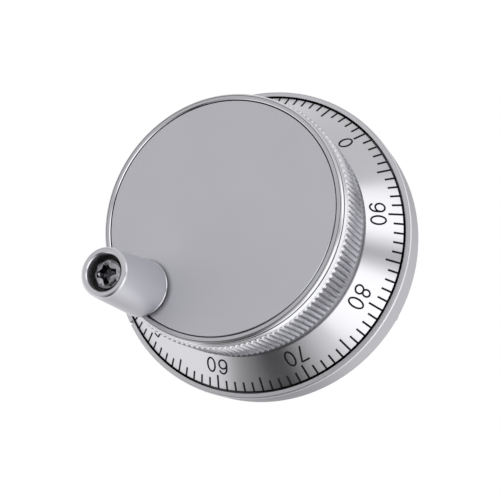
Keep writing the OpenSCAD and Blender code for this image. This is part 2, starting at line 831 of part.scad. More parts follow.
// Outside of the knob: foot, knurl, band with its groove and rounded rim
module knob_outside() {
    groove_z = rim_z - knob_groove_z;
    rotate_extrude($fn = 144)
        polygon(concat(
            [[0, dial_top_z], [root_r, dial_top_z], [root_r, groove_z - knob_groove_w / 2],
                [root_r - knob_groove_w / 2, groove_z], [root_r, groove_z + knob_groove_w / 2]],
            edge_arc(root_r - knob_edge_r, rim_z - knob_edge_r, knob_edge_r, 0),
            [[0, rim_z]]));
    translate([0, 0, knurl_low_z])
        linear_extrude(height = knurl_top_z - knurl_low_z)
            polygon(zigzag(knurl_teeth, root_r - 0.05, knurl_r));
}

module hub_washer() color([0.60, 0.61, 0.63])
    ring(hub_washer_d / 2, hub_screw_d / 2 + hole_play, hub_sink_z, hub_sink_z + hub_washer_t);

module hub_screw() color([0.45, 0.45, 0.47])
    translate([0, 0, hub_sink_z + hub_washer_t])
        pan_screw(hub_screw_d, hub_screw_l, hub_screw_head_d, hub_screw_head_h);

// Dial: cone with a cylindrical edge, a flange under the knob and a spigot inside it
module dial() color([0.80, 0.80, 0.82])
    difference() {
        rotate_extrude($fn = 144)
            polygon([[spigot_r, dial_flange_z], [dial_top_r - dial_wall_t, dial_flange_z],
                [dial_r - dial_wall_t / 2, bezel_h - dial_edge_h], [dial_r, bezel_h - dial_edge_h],
                [dial_r, bezel_h], [dial_top_r, dial_top_z], [hollow_r - seat, dial_top_z],
                [hollow_r - seat, dial_top_z + dial_spigot_h], [spigot_r, dial_top_z + dial_spigot_h]]);
        around(3)
            translate([dial_screw_r, 0, dial_flange_z - cut])
                cylinder(r = dial_screw_d / 2 + hole_play, h = dial_flange_t + 2 * cut);
    }

module dial_screws() color([0.45, 0.45, 0.47])
    around(3)
        translate([dial_screw_r, 0, dial_flange_z])
            mirror([0, 0, 1])
                pan_screw(dial_screw_d, dial_screw_l, dial_screw_head_d, dial_screw_head_h);

// Face plate glued into the knob, with the hole for the handle's spindle
module face_plate() color([0.67, 0.67, 0.69])
    difference() {
        union() {
            rod(face_r, recess_z, face_z - face_edge_c);
            translate([0, 0, face_z - face_edge_c])
                cylinder(r1 = face_r, r2 = face_r - face_edge_c, h = face_edge_c);
        }
        at(handle_offset, 180)
            rod(spindle_r + hole_play, recess_z - cut, face_z + cut);
    }

// Shoulder screw that the handle turns on
module handle_spindle() color([0.62, 0.62, 0.65])
    at(handle_offset, 180)
        difference() {
            union() {
                rod(spindle_thread_r, recess_z - spindle_thread_l, recess_z + cut);
                rod(spindle_r, recess_z, head_z + cut / 2);
                translate([0, 0, head_z])
                    pan_head(spindle_head_d, spindle_head_h);
            }
            translate([0, 0, head_z + spindle_head_h])
                cross_recess(spindle_head_d * 0.75, spindle_head_h * 0.75);
        }

module handle_washer() color([0.10, 0.10, 0.11])
    at(handle_offset, 180)
        ring(handle_washer_d / 2, spindle_r + hole_play, face_z, washer_top_z);

// Handle: tapered sleeve with a rounded tip
module handle() color([0.72, 0.72, 0.74])
    at(handle_offset, 180)
        rotate_extrude($fn = 72)
            polygon(concat(
                [[handle_bore_d / 2, handle_z], [handle_base_d / 2 - handle_base_c, handle_z],
                    [handle_base_d / 2, handle_z + handle_base_c]],
                edge_arc(handle_tip_d / 2 - handle_tip_r, handle_tip_z - handle_tip_r, handle_tip_r, 0),
                [[handle_bore_d / 2 + handle_bore_c, handle_tip_z],
                    [handle_bore_d / 2, handle_tip_z - handle_bore_c]]));

// Bush pressed into the handle, running on the spindle's shoulder
module handle_bush() color([0.10, 0.10, 0.11])
    at(handle_offset, 180)
        ring(handle_bore_d / 2 - seat / 2, spindle_r + running, handle_z, bush_top_z);

// Stands the fixed pieces up, with the front of the wheel to -Y
module fixed()
    rotate([90, 0, 0])
        children();

// The same for the wheel, turned to its drawn position
module turning()
    rotate([90, 0, 0])
        rotate(wheel_turn)
            children();

fixed() bezel();
fixed() housing();
fixed() housing_screws();
fixed() bearing_outer_rings();
fixed() bearing_balls();
fixed() bearing_cages();
fixed() bearing_shields();
fixed() wave_spring();
fixed() click_yokes();
fixed() click_magnet();
fixed() spacer_ring();
fixed() circuit_board();
fixed() sensor_block();
fixed() driver_chip();
fixed() capacitors();
fixed() rear_cover();
fixed() cover_screws();
fixed() terminal_inserts();
fixed() terminal_clamps();
fixed() terminal_screws();
turning() shaft();
turning() bearing_inner_rings();
turning() bearing_sleeve();
turning() retaining_ring();
turning() disc_hub();
turning() hub_grub_screws();
turning() click_rotor();
turning() code_disc();
turning() disc_clamp();
turning() disc_screws();
turning() knob();
turning() hub_washer();
turning() hub_screw();
turning() dial();
turning() dial_screws();
turning() face_plate();
turning() handle_spindle();
turning() handle_washer();
turning() handle();
turning() handle_bush();
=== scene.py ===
import json
import math

import bmesh
import bpy
import numpy as np
from mathutils import Matrix, Vector


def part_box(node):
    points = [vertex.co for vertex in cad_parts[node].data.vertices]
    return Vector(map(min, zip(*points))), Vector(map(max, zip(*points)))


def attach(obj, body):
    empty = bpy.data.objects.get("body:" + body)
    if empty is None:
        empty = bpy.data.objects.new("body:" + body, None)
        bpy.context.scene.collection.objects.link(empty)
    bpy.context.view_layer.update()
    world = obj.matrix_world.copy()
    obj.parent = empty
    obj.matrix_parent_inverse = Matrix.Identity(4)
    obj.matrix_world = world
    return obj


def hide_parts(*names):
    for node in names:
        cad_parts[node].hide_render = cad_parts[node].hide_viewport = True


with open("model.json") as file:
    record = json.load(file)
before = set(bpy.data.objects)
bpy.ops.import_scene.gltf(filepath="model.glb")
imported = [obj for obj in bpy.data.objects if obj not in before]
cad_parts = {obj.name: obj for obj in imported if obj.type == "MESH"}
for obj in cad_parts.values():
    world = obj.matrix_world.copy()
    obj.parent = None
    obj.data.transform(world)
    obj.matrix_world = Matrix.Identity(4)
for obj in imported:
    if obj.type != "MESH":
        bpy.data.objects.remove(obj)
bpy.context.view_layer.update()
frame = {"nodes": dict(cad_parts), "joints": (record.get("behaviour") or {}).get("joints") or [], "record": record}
nodes = frame["nodes"]
joints = {joint["name"]: joint for joint in frame["joints"]}
mm = 0.001
print("frame loaded:", len(nodes), "solids")

# The camera stands to the right of the wheel, a little below it
cameraView = {
    "location": (0.0630, -0.1646, -0.0473),
    "right": (0.9275, 0.3739, 0.0),
    "up": (0.0959, -0.2378, 0.9666),
    "lens": 67.25,
}


def placeCamera():
    data = bpy.data.cameras.new("studioCamera")
    data.lens = cameraView["lens"]
    data.sensor_width = 36
    data.clip_start = 0.01
    data.clip_end = 20
    camera = bpy.data.objects.new("studioCamera", data)
    bpy.context.scene.collection.objects.link(camera)
    right = Vector(cameraView["right"]).normalized()
    back = right.cross(Vector(cameraView["up"])).normalized()
    up = back.cross(right)
    turn = Matrix((right, up, back)).transposed().to_4x4()
    camera.matrix_world = Matrix.Translation(cameraView["location"]) @ turn
    bpy.context.scene.camera = camera


placeCamera()
bpy.context.scene.view_settings.view_transform = "Standard"


# ring: (radius, front height, rear height) of a round solid, in mm, heights counted out of the panel
def ring(node):
    low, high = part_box(node)
    return (high.x - low.x) / 2 / mm, -low.y / mm, -high.y / mm


bezelR, bezelTop, _ = ring("bezel")
dialR, _, _ = ring("dial")
knurlR, rimTop, knobLow = ring("knob")
plateR, plateTop, plateLow = ring("face_plate")
handleR, tipTop, handleLow = ring("handle")
headR, headTop, threadLow = ring("handle_spindle")
pinX, _, pinZ = joints["grip_spin"]["pos_m"]
pinR = math.hypot(pinX, pinZ) / mm
pinAngle = math.atan2(pinZ, pinX)
zeroAngle = pinAngle + math.pi


# The point at a radius and angle round the wheel's axis and a height in front of the panel
def onWheel(radius, angle, height):
    radius, angle, height = np.broadcast_arrays(radius, angle, height)
    return np.stack([radius * np.cos(angle), -height, radius * np.sin(angle)], axis=-1) * mm


# The same round an axis that stands at centre, a pair in mm
def onAxis(centre, radius, angle, height):
    return onWheel(radius, angle, height) + np.array([centre[0], 0, centre[1]]) * mm


pinCentre = (pinR * math.cos(pinAngle), pinR * math.sin(pinAngle))


# Each corner of a closed outline is left r before it and met again r after it;
# between them runs (1-t)^2 a + 2t(1-t) corner + t^2 b
def easeCorners(outline, radii, steps=5):
    outline = np.array(outline, float)
    radii = np.broadcast_to(np.array(radii, float), len(outline))[:, None, None]
    before = np.roll(outline, 1, axis=0) - outline
    after = np.roll(outline, -1, axis=0) - outline
    before /= np.linalg.norm(before, axis=1)[:, None]
    after /= np.linalg.norm(after, axis=1)[:, None]
    t = np.linspace(0, 1, steps)[None, :, None]
    a = outline[:, None] + radii * before[:, None]
    b = outline[:, None] + radii * after[:, None]
    eased = ((1 - t) ** 2 * a + 2 * t * (1 - t) * outline[:, None] + t ** 2 * b).reshape(-1, 2)
    keep = np.linalg.norm(eased - np.roll(eased, 1, axis=0), axis=1) > 1e-5
    return eased[keep]


# A mesh from a grid of points: quads between neighbouring rows and columns, turned outwards by the
# sign of the enclosed volume; u is the length along the rows in units of 10 mm, v the share of the turn
def gridPiece(name, points, closeRows=True, closeColumns=True, smooth=30):
    rows, columns = points.shape[:2]
    index = np.arange(rows * columns).reshape(rows, columns)
    run = np.linalg.norm(np.diff(points, axis=0), axis=2).mean(axis=1)
    u = np.concatenate([[0], np.cumsum(run)])
    if closeRows:
        index = np.vstack([index, index[:1]])
        u = np.append(u, u[-1] + np.linalg.norm(points[0] - points[-1], axis=1).mean())
    if closeColumns:
        index = np.hstack([index, index[:, :1]])
    v = np.arange(index.shape[1]) / (index.shape[1] - 1)
    uv = np.stack(np.meshgrid(u * 100, v, indexing="ij"), axis=-1)

    def corners(table):
        return np.stack([table[:-1, :-1], table[1:, :-1], table[1:, 1:], table[:-1, 1:]], axis=2)

    quads = corners(index).reshape(-1, 4)
    quadUv = corners(uv).reshape(-1, 4, 2)
    flat = points.reshape(-1, 3)
    a, b, c, d = (flat[quads[:, k]] for k in range(4))
    volume = (np.cross(a, b) * c).sum() + (np.cross(a, c) * d).sum()
    if volume < 0:
        quads, quadUv = quads[:, ::-1], quadUv[:, ::-1]
    mesh = bpy.data.meshes.new(name)
    mesh.from_pydata(flat.tolist(), [], quads.tolist())
    layer = mesh.uv_layers.new(name="turned")
    layer.data.foreach_set("uv", quadUv.reshape(-1))
    finishMesh(mesh, smooth)
    piece = bpy.data.objects.new(name, mesh)
    bpy.context.scene.collection.objects.link(piece)
    return piece


# Poles and seams are merged, then faces meeting at less than the angle are shaded as one
def finishMesh(mesh, smooth):
    work = bmesh.new()
    work.from_mesh(mesh)
    bmesh.ops.remove_doubles(work, verts=work.verts, dist=1e-8)
    bmesh.ops.dissolve_degenerate(work, edges=work.edges, dist=1e-8)
    work.to_mesh(mesh)
    work.free()
    mesh.shade_smooth()
    mesh.set_sharp_from_angle(angle=math.radians(smooth))


# A profile of (radius, height) rows carried round an axis
def turned(name, profile, columns=192, centre=(0, 0), smooth=30):
    angle = np.linspace(0, 2 * np.pi, columns, endpoint=False)
    points = onAxis(centre, profile[:, 0:1], angle[None, :], profile[:, 1:2])
    return gridPiece(name, points, smooth=smooth)


# Takes the drill's volume out of a piece, then removes the drill
def drillOut(piece, drill, smooth=30):
    cut = piece.modifiers.new("drilled", "BOOLEAN")
    cut.operation = "DIFFERENCE"
    cut.solver = "EXACT"
    cut.object = drill
    bpy.context.view_layer.update()
    graph = bpy.context.evaluated_depsgraph_get()
    drilled = bpy.data.meshes.new_from_object(piece.evaluated_get(graph), depsgraph=graph)
    piece.modifiers.clear()
    old = piece.data
    drilled.name = old.name
    piece.data = drilled
    bpy.data.meshes.remove(old)
    bpy.data.objects.remove(drill)
    drilled.set_sharp_from_angle(angle=math.radians(smooth))


# Round drills of one profile on a circle of count places; the profile runs from axis to axis
def drillSet(name, profile, radius, count, first, columns=32):
    profile = np.array(profile, float)
    angle = -np.linspace(0, 2 * np.pi, columns, endpoint=False)
    spots = np.radians(first) + np.arange(count) * 2 * np.pi / count
    drills = []
    for spot in spots:
        centre = (radius * math.cos(spot), radius * math.sin(spot))
        points = onAxis(centre, profile[:, 0:1], angle[None, :], profile[:, 1:2])
        drills.append(gridPiece(name, points, closeRows=False))
    return joined(name, drills)


# Several pieces made into one
def joined(name, parts):
    work = bmesh.new()
    for part in parts:
        work.from_mesh(part.data)
        mesh = part.data
        bpy.data.objects.remove(part)
        bpy.data.meshes.remove(mesh)
    mesh = bpy.data.meshes.new(name)
    work.to_mesh(mesh)
    work.free()
    piece = bpy.data.objects.new(name, mesh)
    bpy.context.scene.collection.objects.link(piece)
    return piece


# Gives a piece its body, its finish's slot and the solids that it stands for
def settle(piece, body, finish, replaced=()):
    piece.data.materials.clear()
    for material in finish if isinstance(finish, (list, tuple)) else [finish]:
        piece.data.materials.append(material)
    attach(piece, body)
    if replaced:
        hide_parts(*replaced)


# Faces whose middle lies between two radii and two heights get another of the piece's materials
def markFaces(piece, innerR, outerR, low, high, centre=(0, 0), material=1):
    mesh = piece.data
    middle = np.zeros(len(mesh.polygons) * 3)
    mesh.polygons.foreach_get("center", middle)
    middle = middle.reshape(-1, 3) / mm
    chosen = np.zeros(len(mesh.polygons), np.int32)
    mesh.polygons.foreach_get("material_index", chosen)
    radius = np.hypot(middle[:, 0] - centre[0], middle[:, 2] - centre[1])
    height = -middle[:, 1]
    chosen[(radius > innerR) & (radius < outerR) & (height > low) & (height < high)] = material
    mesh.polygons.foreach_set("material_index", chosen)


# Small helpers for the finishes
def newFinish(name, colour, roughness, metallic=0.0):
    material = bpy.data.materials.new(name)
    material.use_nodes = True
    tree = material.node_tree
    shader = tree.nodes["Principled BSDF"]
    shader.inputs["Base Color"].default_value = (*colour, 1)
    shader.inputs["Roughness"].default_value = roughness
    shader.inputs["Metallic"].default_value = metallic
    place = tree.nodes.new("ShaderNodeTexCoord")
    return material, tree, shader, place


def noise(tree, vector, scale, detail=2.0, stretch=None):
    if stretch is not None:
        mapping = tree.nodes.new("ShaderNodeMapping")
        mapping.inputs["Scale"].default_value = stretch
        tree.links.new(vector, mapping.inputs["Vector"])
        vector = mapping.outputs["Vector"]
    texture = tree.nodes.new("ShaderNodeTexNoise")
    texture.inputs["Scale"].default_value = scale
    texture.inputs["Detail"].default_value = detail
    tree.links.new(vector, texture.inputs["Vector"])
    return texture.outputs["Fac"]


def between(tree, share, low, high, fromLow=0.3, fromHigh=0.7):
    node = tree.nodes.new("ShaderNodeMapRange")
    node.inputs["From Min"].default_value = fromLow
    node.inputs["From Max"].default_value = fromHigh
    node.inputs["To Min"].default_value = low
    node.inputs["To Max"].default_value = high
    tree.links.new(share, node.inputs["Value"])
    return node.outputs["Result"]


def shades(tree, share, dark, light):
    node = tree.nodes.new("ShaderNodeMix")
    node.data_type = "RGBA"
    node.inputs["A"].default_value = (*dark, 1)
    node.inputs["B"].default_value = (*light, 1)
    tree.links.new(share, node.inputs["Factor"])
    return node.outputs["Result"]


def raised(tree, shader, height, strength, distance):
    node = tree.nodes.new("ShaderNodeBump")
    node.inputs["Strength"].default_value = strength
    node.inputs["Distance"].default_value = distance
    tree.links.new(height, node.inputs["Height"])
    tree.links.new(node.outputs["Normal"], shader.inputs["Normal"])


def scaled(colour, factor):
    return tuple(min(1.0, channel * factor) for channel in colour)


# Tones of the aluminium, by place
aluminiumTone = {
    "dial": (0.67, 0.67, 0.70),
    "bezel": (0.45, 0.45, 0.48),
    "landAndHighlight": (0.71, 0.71, 0.74),
    "rimLand": (0.58, 0.58, 0.62),
    "rim": (0.68, 0.68, 0.71),
    "knurl": (0.44, 0.44, 0.47),
    "neck": (0.40, 0.40, 0.42),
    "plate": (0.68, 0.68, 0.72),
    "handle": (0.65, 0.65, 0.69),
    "bore": (0.62, 0.62, 0.65),
}


# Aluminium turned on a lathe: fine rings across the profile, so its gloss runs across them
def turnedAluminium(name, colour, roughness, anisotropy, ringScale=60.0, ringStrength=0.15):
    material, tree, shader, place = newFinish(name, colour, roughness, 1.0)
    shader.inputs["Anisotropic"].default_value = anisotropy
    along = tree.nodes.new("ShaderNodeTangent")
    along.direction_type = "UV_MAP"
    along.uv_map = "turned"
    tree.links.new(along.outputs["Tangent"], shader.inputs["Tangent"])
    rings = noise(tree, place.outputs["UV"], ringScale, 3.0, stretch=(1.0, 0.0, 0.0))
    cloud = noise(tree, place.outputs["Object"], 90.0, 3.0)
    tree.links.new(shades(tree, between(tree, cloud, 0, 1), scaled(colour, 0.99), scaled(colour, 1.01)),
                   shader.inputs["Base Color"])
    tree.links.new(between(tree, rings, roughness * 0.96, roughness * 1.04), shader.inputs["Roughness"])
    raised(tree, shader, rings, ringStrength, 0.000004)
    return material


# Knurled aluminium with painted shade in the valleys: the colour is darker there than on the flanks; the shade
# follows the distance from the wheel's axis, in metres, from the valleys' dark to the full tone
knurlPaintedShade = {"darkR": 0.02271, "fullR": 0.02283, "dark": 0.30, "full": 1.05}


def knurledAluminium():
    tone = aluminiumTone["knurl"]
    material, tree, shader, place = newFinish("knurlMetal", tone, 0.24, 1.0)
    flat = tree.nodes.new("ShaderNodeVectorMath")
    flat.operation = "MULTIPLY"
    flat.inputs[1].default_value = (1, 0, 1)
    length = tree.nodes.new("ShaderNodeVectorMath")
    length.operation = "LENGTH"
    tree.links.new(place.outputs["Object"], flat.inputs[0])
    tree.links.new(flat.outputs["Vector"], length.inputs[0])
    # painted shade: the colour darkens towards the bottom of each valley
    depth = between(tree, length.outputs["Value"], 0.0, 1.0, knurlPaintedShade["darkR"], knurlPaintedShade["fullR"])
    tree.links.new(shades(tree, depth, scaled(tone, knurlPaintedShade["dark"]), scaled(tone, knurlPaintedShade["full"])),
                   shader.inputs["Base Color"])
    cuts = noise(tree, place.outputs["Object"], 3500.0, 2.0, stretch=(1.0, 0.1, 1.0))
    tree.links.new(between(tree, cuts, 0.20, 0.28), shader.inputs["Roughness"])
    raised(tree, shader, cuts, 0.05, 0.000008)
    return material


# Bead-blasted aluminium: a dense matte grain; round the handle's foot a ring of painted contact shadow darkens it,
# fading with the distance from a centre that lies a little off the handle's axis
contactShadowRing = {"shift": (0.22, -0.22), "inner": -0.1, "outer": 0.6, "dark": 0.62}


def blastedAluminium(name, colour, roughness, contactShadow=False):
    material, tree, shader, place = newFinish(name, colour, roughness, 1.0)
    grain = noise(tree, place.outputs["Object"], 9000.0, 2.0)
    cloud = noise(tree, place.outputs["Object"], 120.0, 4.0)
    tone = shades(tree, between(tree, cloud, 0, 1), scaled(colour, 0.99), scaled(colour, 1.01))
    if contactShadow:
        flat = tree.nodes.new("ShaderNodeMapping")
        right, up = contactShadowRing["shift"]
        flat.inputs["Location"].default_value = (-pinX - right * mm, 0, -pinZ - up * mm)
        level = tree.nodes.new("ShaderNodeVectorMath")
        level.operation = "MULTIPLY"
        level.inputs[1].default_value = (1, 0, 1)
        away = tree.nodes.new("ShaderNodeVectorMath")
        away.operation = "LENGTH"
        tree.links.new(place.outputs["Object"], flat.inputs["Vector"])
        tree.links.new(flat.outputs["Vector"], level.inputs[0])
        tree.links.new(level.outputs["Vector"], away.inputs[0])
        # painted shadow: the plate's colour darkens close to the handle's foot
        shadowShare = between(tree, away.outputs["Value"], 1.0, 0.0,
                       (handleR + contactShadowRing["inner"]) * mm, (handleR + contactShadowRing["outer"]) * mm)
        blend = tree.nodes.new("ShaderNodeMix")
        blend.data_type = "RGBA"
        blend.inputs["B"].default_value = (*scaled(colour, contactShadowRing["dark"]), 1)
        tree.links.new(shadowShare, blend.inputs["Factor"])
        tree.links.new(tone, blend.inputs["A"])
        tone = blend.outputs["Result"]
    tree.links.new(tone, shader.inputs["Base Color"])
    tree.links.new(between(tree, grain, roughness - 0.05, roughness + 0.05), shader.inputs["Roughness"])
    raised(tree, shader, grain, 0.25, 0.000008)
    return material


# Matt black ink, with slightly uneven density; it prints the graduation and is also laid as painted shade in gaps,
# grooves and round the screw head
def blackInk():
    material, tree, shader, place = newFinish("blackInk", (0.008, 0.008, 0.009), 0.55)
    spots = noise(tree, place.outputs["Object"], 5000.0, 2.0)
    tree.links.new(shades(tree, spots, (0.004, 0.004, 0.004), (0.012, 0.012, 0.013)),
                   shader.inputs["Base Color"])
    shader.inputs["Specular IOR Level"].default_value = 0.15
    return material


# Polished metal with faint handling marks; dents make it uneven
def polishedMetal(name, colour, roughness, marks=0.04, dents=0.0):
    material, tree, shader, place = newFinish(name, colour, roughness, 1.0)
    smear = noise(tree, place.outputs["Object"], 900.0, 4.0)
    tree.links.new(between(tree, smear, roughness, roughness + marks), shader.inputs["Roughness"])
    tree.links.new(shades(tree, smear, scaled(colour, 0.93), scaled(colour, 1.05)),
                   shader.inputs["Base Color"])
    if dents:
        raised(tree, shader, noise(tree, place.outputs["Object"], 700.0, 0.0), dents, 0.0006)
    return material


# Ground or plated steel: short streaks along the wheel's axis and blotches of plating
def platedSteel(name, colour, roughness, tint):
    material, tree, shader, place = newFinish(name, colour, roughness, 1.0)
    streak = noise(tree, place.outputs["Object"], 2500.0, 2.0, stretch=(1.0, 0.12, 1.0))
    blotch = noise(tree, place.outputs["Object"], 600.0, 3.0)
    tree.links.new(shades(tree, between(tree, blotch, 0, 1), colour, tint), shader.inputs["Base Color"])
    tree.links.new(between(tree, streak, roughness * 0.8, roughness * 1.25), shader.inputs["Roughness"])
    raised(tree, shader, streak, 0.12, 0.00001)
    return material


# Moulded plastic: fine leathered texture
def mouldedPlastic(name, colour, roughness, grainScale=2600.0, strength=0.2):
    material, tree, shader, place = newFinish(name, colour, roughness)
    grain = noise(tree, place.outputs["Object"], grainScale, 3.0)
    flow = noise(tree, place.outputs["Object"], 70.0, 2.0)
    tree.links.new(shades(tree, between(tree, flow, 0, 1), scaled(colour, 0.85), scaled(colour, 1.15)),
                   shader.inputs["Base Color"])
    tree.links.new(between(tree, grain, roughness - 0.08, roughness + 0.08), shader.inputs["Roughness"])
    raised(tree, shader, grain, strength, 0.00003)
    return material


# Paint on a die casting: slight orange peel, lighter where it is thin
def castPaint(name, colour, roughness):
    material, tree, shader, place = newFinish(name, colour, roughness)
    peel = noise(tree, place.outputs["Object"], 1500.0, 2.0)
    thin = noise(tree, place.outputs["Object"], 160.0, 4.0)
    tree.links.new(shades(tree, between(tree, thin, 0, 1, 0.45, 0.75), colour, scaled(colour, 1.35)),
                   shader.inputs["Base Color"])
    tree.links.new(between(tree, peel, roughness - 0.06, roughness + 0.1), shader.inputs["Roughness"])
    raised(tree, shader, peel, 0.18, 0.00004)
    shader.inputs["Coat Weight"].default_value = 0.15
    shader.inputs["Coat Roughness"].default_value = 0.35
    return material


# Sintered magnet: dark, dry and speckled
def sinteredMagnet():
    material, tree, shader, place = newFinish("sinteredMagnet", (0.10, 0.10, 0.11), 0.6, 0.6)
    speck = noise(tree, place.outputs["Object"], 4200.0, 5.0)
    tree.links.new(shades(tree, between(tree, speck, 0, 1, 0.4, 0.65), (0.05, 0.05, 0.055), (0.20, 0.20, 0.22)),
                   shader.inputs["Base Color"])
    raised(tree, shader, speck, 0.3, 0.00003)
    return material


# Circuit board: green mask over copper, a little lighter above the conductor lines
def solderMask():
    material, tree, shader, place = newFinish("solderMask", (0.02, 0.16, 0.06), 0.28)
    lines = tree.nodes.new("ShaderNodeTexBrick")
    lines.offset = 0.5
    lines.inputs["Scale"].default_value = 260.0
    lines.inputs["Mortar Size"].default_value = 0.045
    lines.inputs["Color1"].default_value = (0.012, 0.13, 0.045, 1)
    lines.inputs["Color2"].default_value = (0.016, 0.15, 0.052, 1)
    lines.inputs["Mortar"].default_value = (0.05, 0.27, 0.10, 1)
    turn = tree.nodes.new("ShaderNodeMapping")
    turn.inputs["Rotation"].default_value = (math.radians(90), 0, 0)
    tree.links.new(place.outputs["Object"], turn.inputs["Vector"])
    tree.links.new(turn.outputs["Vector"], lines.inputs["Vector"])
    tree.links.new(lines.outputs["Color"], shader.inputs["Base Color"])
    raised(tree, shader, lines.outputs["Fac"], 0.2, 0.00003)
    shader.inputs["Coat Weight"].default_value = 0.4
    shader.inputs["Coat Roughness"].default_value = 0.12
    return material


dialMetal = turnedAluminium("dialMetal", aluminiumTone["dial"], 0.25, 0.9, 60.0, 0.05)
bezelMetal = turnedAluminium("bezelMetal", aluminiumTone["bezel"], 0.52, 0.3, 50.0, 0.15)
landAndHighlightMetal = turnedAluminium("landAndHighlightMetal", aluminiumTone["landAndHighlight"], 0.45, 0.3, 50.0, 0.1)
rimLandMetal = turnedAluminium("rimLandMetal", aluminiumTone["rimLand"], 0.30, 0.3, 50.0, 0.05)
neckMetal = turnedAluminium("neckMetal", aluminiumTone["neck"], 0.35, 0.3, 50.0, 0.05)
rimMetal = turnedAluminium("rimMetal", aluminiumTone["rim"], 0.14, 0.4, 70.0, 0.05)
knurlMetal = knurledAluminium()
plateMetal = blastedAluminium("plateMetal", aluminiumTone["plate"], 0.62, contactShadow=True)
handleMetal = blastedAluminium("handleMetal", aluminiumTone["handle"], 0.55)
tipMetal = turnedAluminium("tipMetal", aluminiumTone["handle"], 0.26, 0.3, 40.0, 0.1)
boreMetal = polishedMetal("boreMetal", aluminiumTone["bore"], 0.45)
# near-black metal laid as painted shade inside the screw's cross recess
recessPaintedShade = polishedMetal("recessPaintedShade", (0.07, 0.07, 0.08), 0.22)
inkAndPaintedShade = blackInk()
darkChrome = polishedMetal("darkChrome", (0.37, 0.37, 0.39), 0.07, dents=1.0)
bearingSteel = polishedMetal("bearingSteel", (0.78, 0.79, 0.81), 0.12)
groundSteel = platedSteel("groundSteel", (0.60, 0.61, 0.64), 0.32, (0.68, 0.68, 0.70))
zincPlate = platedSteel("zincPlate", (0.40, 0.40, 0.42), 0.34, (0.48, 0.47, 0.46))
turnedBrass = platedSteel("turnedBrass", (0.78, 0.60, 0.27), 0.28, (0.84, 0.68, 0.36))
housingPaint = castPaint("housingPaint", (0.030, 0.030, 0.033), 0.5)
blackMoulding = mouldedPlastic("blackMoulding", (0.020, 0.020, 0.022), 0.52)
blackNylon = mouldedPlastic("blackNylon", (0.028, 0.028, 0.030), 0.40, 4000.0, 0.08)
ceramic = mouldedPlastic("ceramic", (0.48, 0.33, 0.15), 0.45, 3000.0, 0.1)
magnetGrey = sinteredMagnet()
boardGreen = solderMask()
print("finishes made:", len(bpy.data.materials))

finishOfSlot = {
    "bezel": bezelMetal, "dial": dialMetal, "knob": knurlMetal, "face_plate": plateMetal,
    "handle": handleMetal, "dark_chrome": darkChrome, "housing": housingPaint,
    "black_plastic": blackMoulding, "black_nylon": blackNylon, "steel": groundSteel,
    "zinc_screw": zincPlate, "bearing_steel": bearingSteel, "brass": turnedBrass,
    "magnet": magnetGrey, "board": boardGreen, "component": ceramic,
}
for part in frame["record"]["subparts"]:
    solid = nodes[part["node"]]
    solid.data.materials.clear()
    solid.data.materials.append(finishOfSlot[part["material_slot"]])

# Bezel: a flange ring with a shallow inside, an index notch in its rim and two sets of three screw holes
bezelShape = {
    "tubeR": 8.72, "floorTop": 3.2, "rimW": 1.0, "edge": 0.45, "innerEdge": 0.05,
    "notchAngle": 208.6, "notchW": 0.7, "notchDepth": 0.9,
    "fixingR": 27.5, "fixingHole": 1.25, "screwR": 15.0, "screwHole": 1.6, "screwHead": 2.9,
    "drillLow": -1.0, "drillTop": 4.2,
}


def makeBezel():
    s = bezelShape
    rimIn = bezelR - s["rimW"]
    outline = [(s["tubeR"], 0), (bezelR, 0), (bezelR, s["floorTop"]), (bezelR, bezelTop), (rimIn, bezelTop),
               (rimIn, s["floorTop"]), (s["tubeR"], s["floorTop"])]
    profile = easeCorners(outline, [0.1, 0.15, 0, s["edge"], s["innerEdge"], 0.05, 0.1], steps=7)
    profile = np.vstack([profile, [s["tubeR"], s["floorTop"] / 2]])
    # extra columns stand at the walls of the notch
    middle = math.radians(s["notchAngle"])
    half = s["notchW"] / 2 / bezelR
    step = 1e-4
    walls = middle + np.array([-half - step, -half, -half / 2, 0, half / 2, half, half + step])
    angle = np.linspace(0, 2 * np.pi, 240, endpoint=False)
    away = np.abs((angle - middle + np.pi) % (2 * np.pi) - np.pi)
    angle = np.sort(np.concatenate([angle[away > half + 0.004], walls]))
    inNotch = np.abs(angle - middle) < half + step / 2
    radius = np.repeat(profile[:, 0:1], len(angle), axis=1)
    above = profile[:, 1:2] > s["floorTop"] + 1e-6
    radius = np.where(above & inNotch[None, :], np.minimum(radius, bezelR - s["notchDepth"]), radius)
    piece = gridPiece("bezelRing", onWheel(radius, angle[None, :], profile[:, 1:2]))
    low, high = s["drillLow"], s["drillTop"]
    drillOut(piece, drillSet("fixingDrill", [(0, low), (s["fixingHole"], low), (s["fixingHole"], high),
                                             (0, high)], s["fixingR"], 3, 90))
    sink = s["floorTop"] - (s["screwHead"] - s["screwHole"])
    drillOut(piece, drillSet("screwDrill", [(0, low), (s["screwHole"], low), (s["screwHole"], sink),
                                            (s["screwHead"], s["floorTop"] + 0.001), (s["screwHead"], high),
                                            (0, high)], s["screwR"], 3, 30))
    settle(piece, "housing", [bezelMetal, inkAndPaintedShade, landAndHighlightMetal], ["bezel"])
    # the rim's land and the outer edge's rounding take the lighter land tone; on the rounding it is a painted
    # highlight line
    markFaces(piece, rimIn - 0.01, bezelR - s["edge"] * 0.7, bezelTop - 0.2, bezelTop + 0.01, material=2)
    markFaces(piece, bezelR - 0.24, bezelR - 0.02, bezelTop - 0.36, bezelTop - 0.02, material=2)
    # the inside of the rim and the floor are inked black as painted shade, so the gap round the dial reads as a
    # black line
    markFaces(piece, rimIn - 0.2, rimIn + 0.02, s["floorTop"] - 0.01, bezelTop - 0.06)


makeBezel()
print("bezel made")

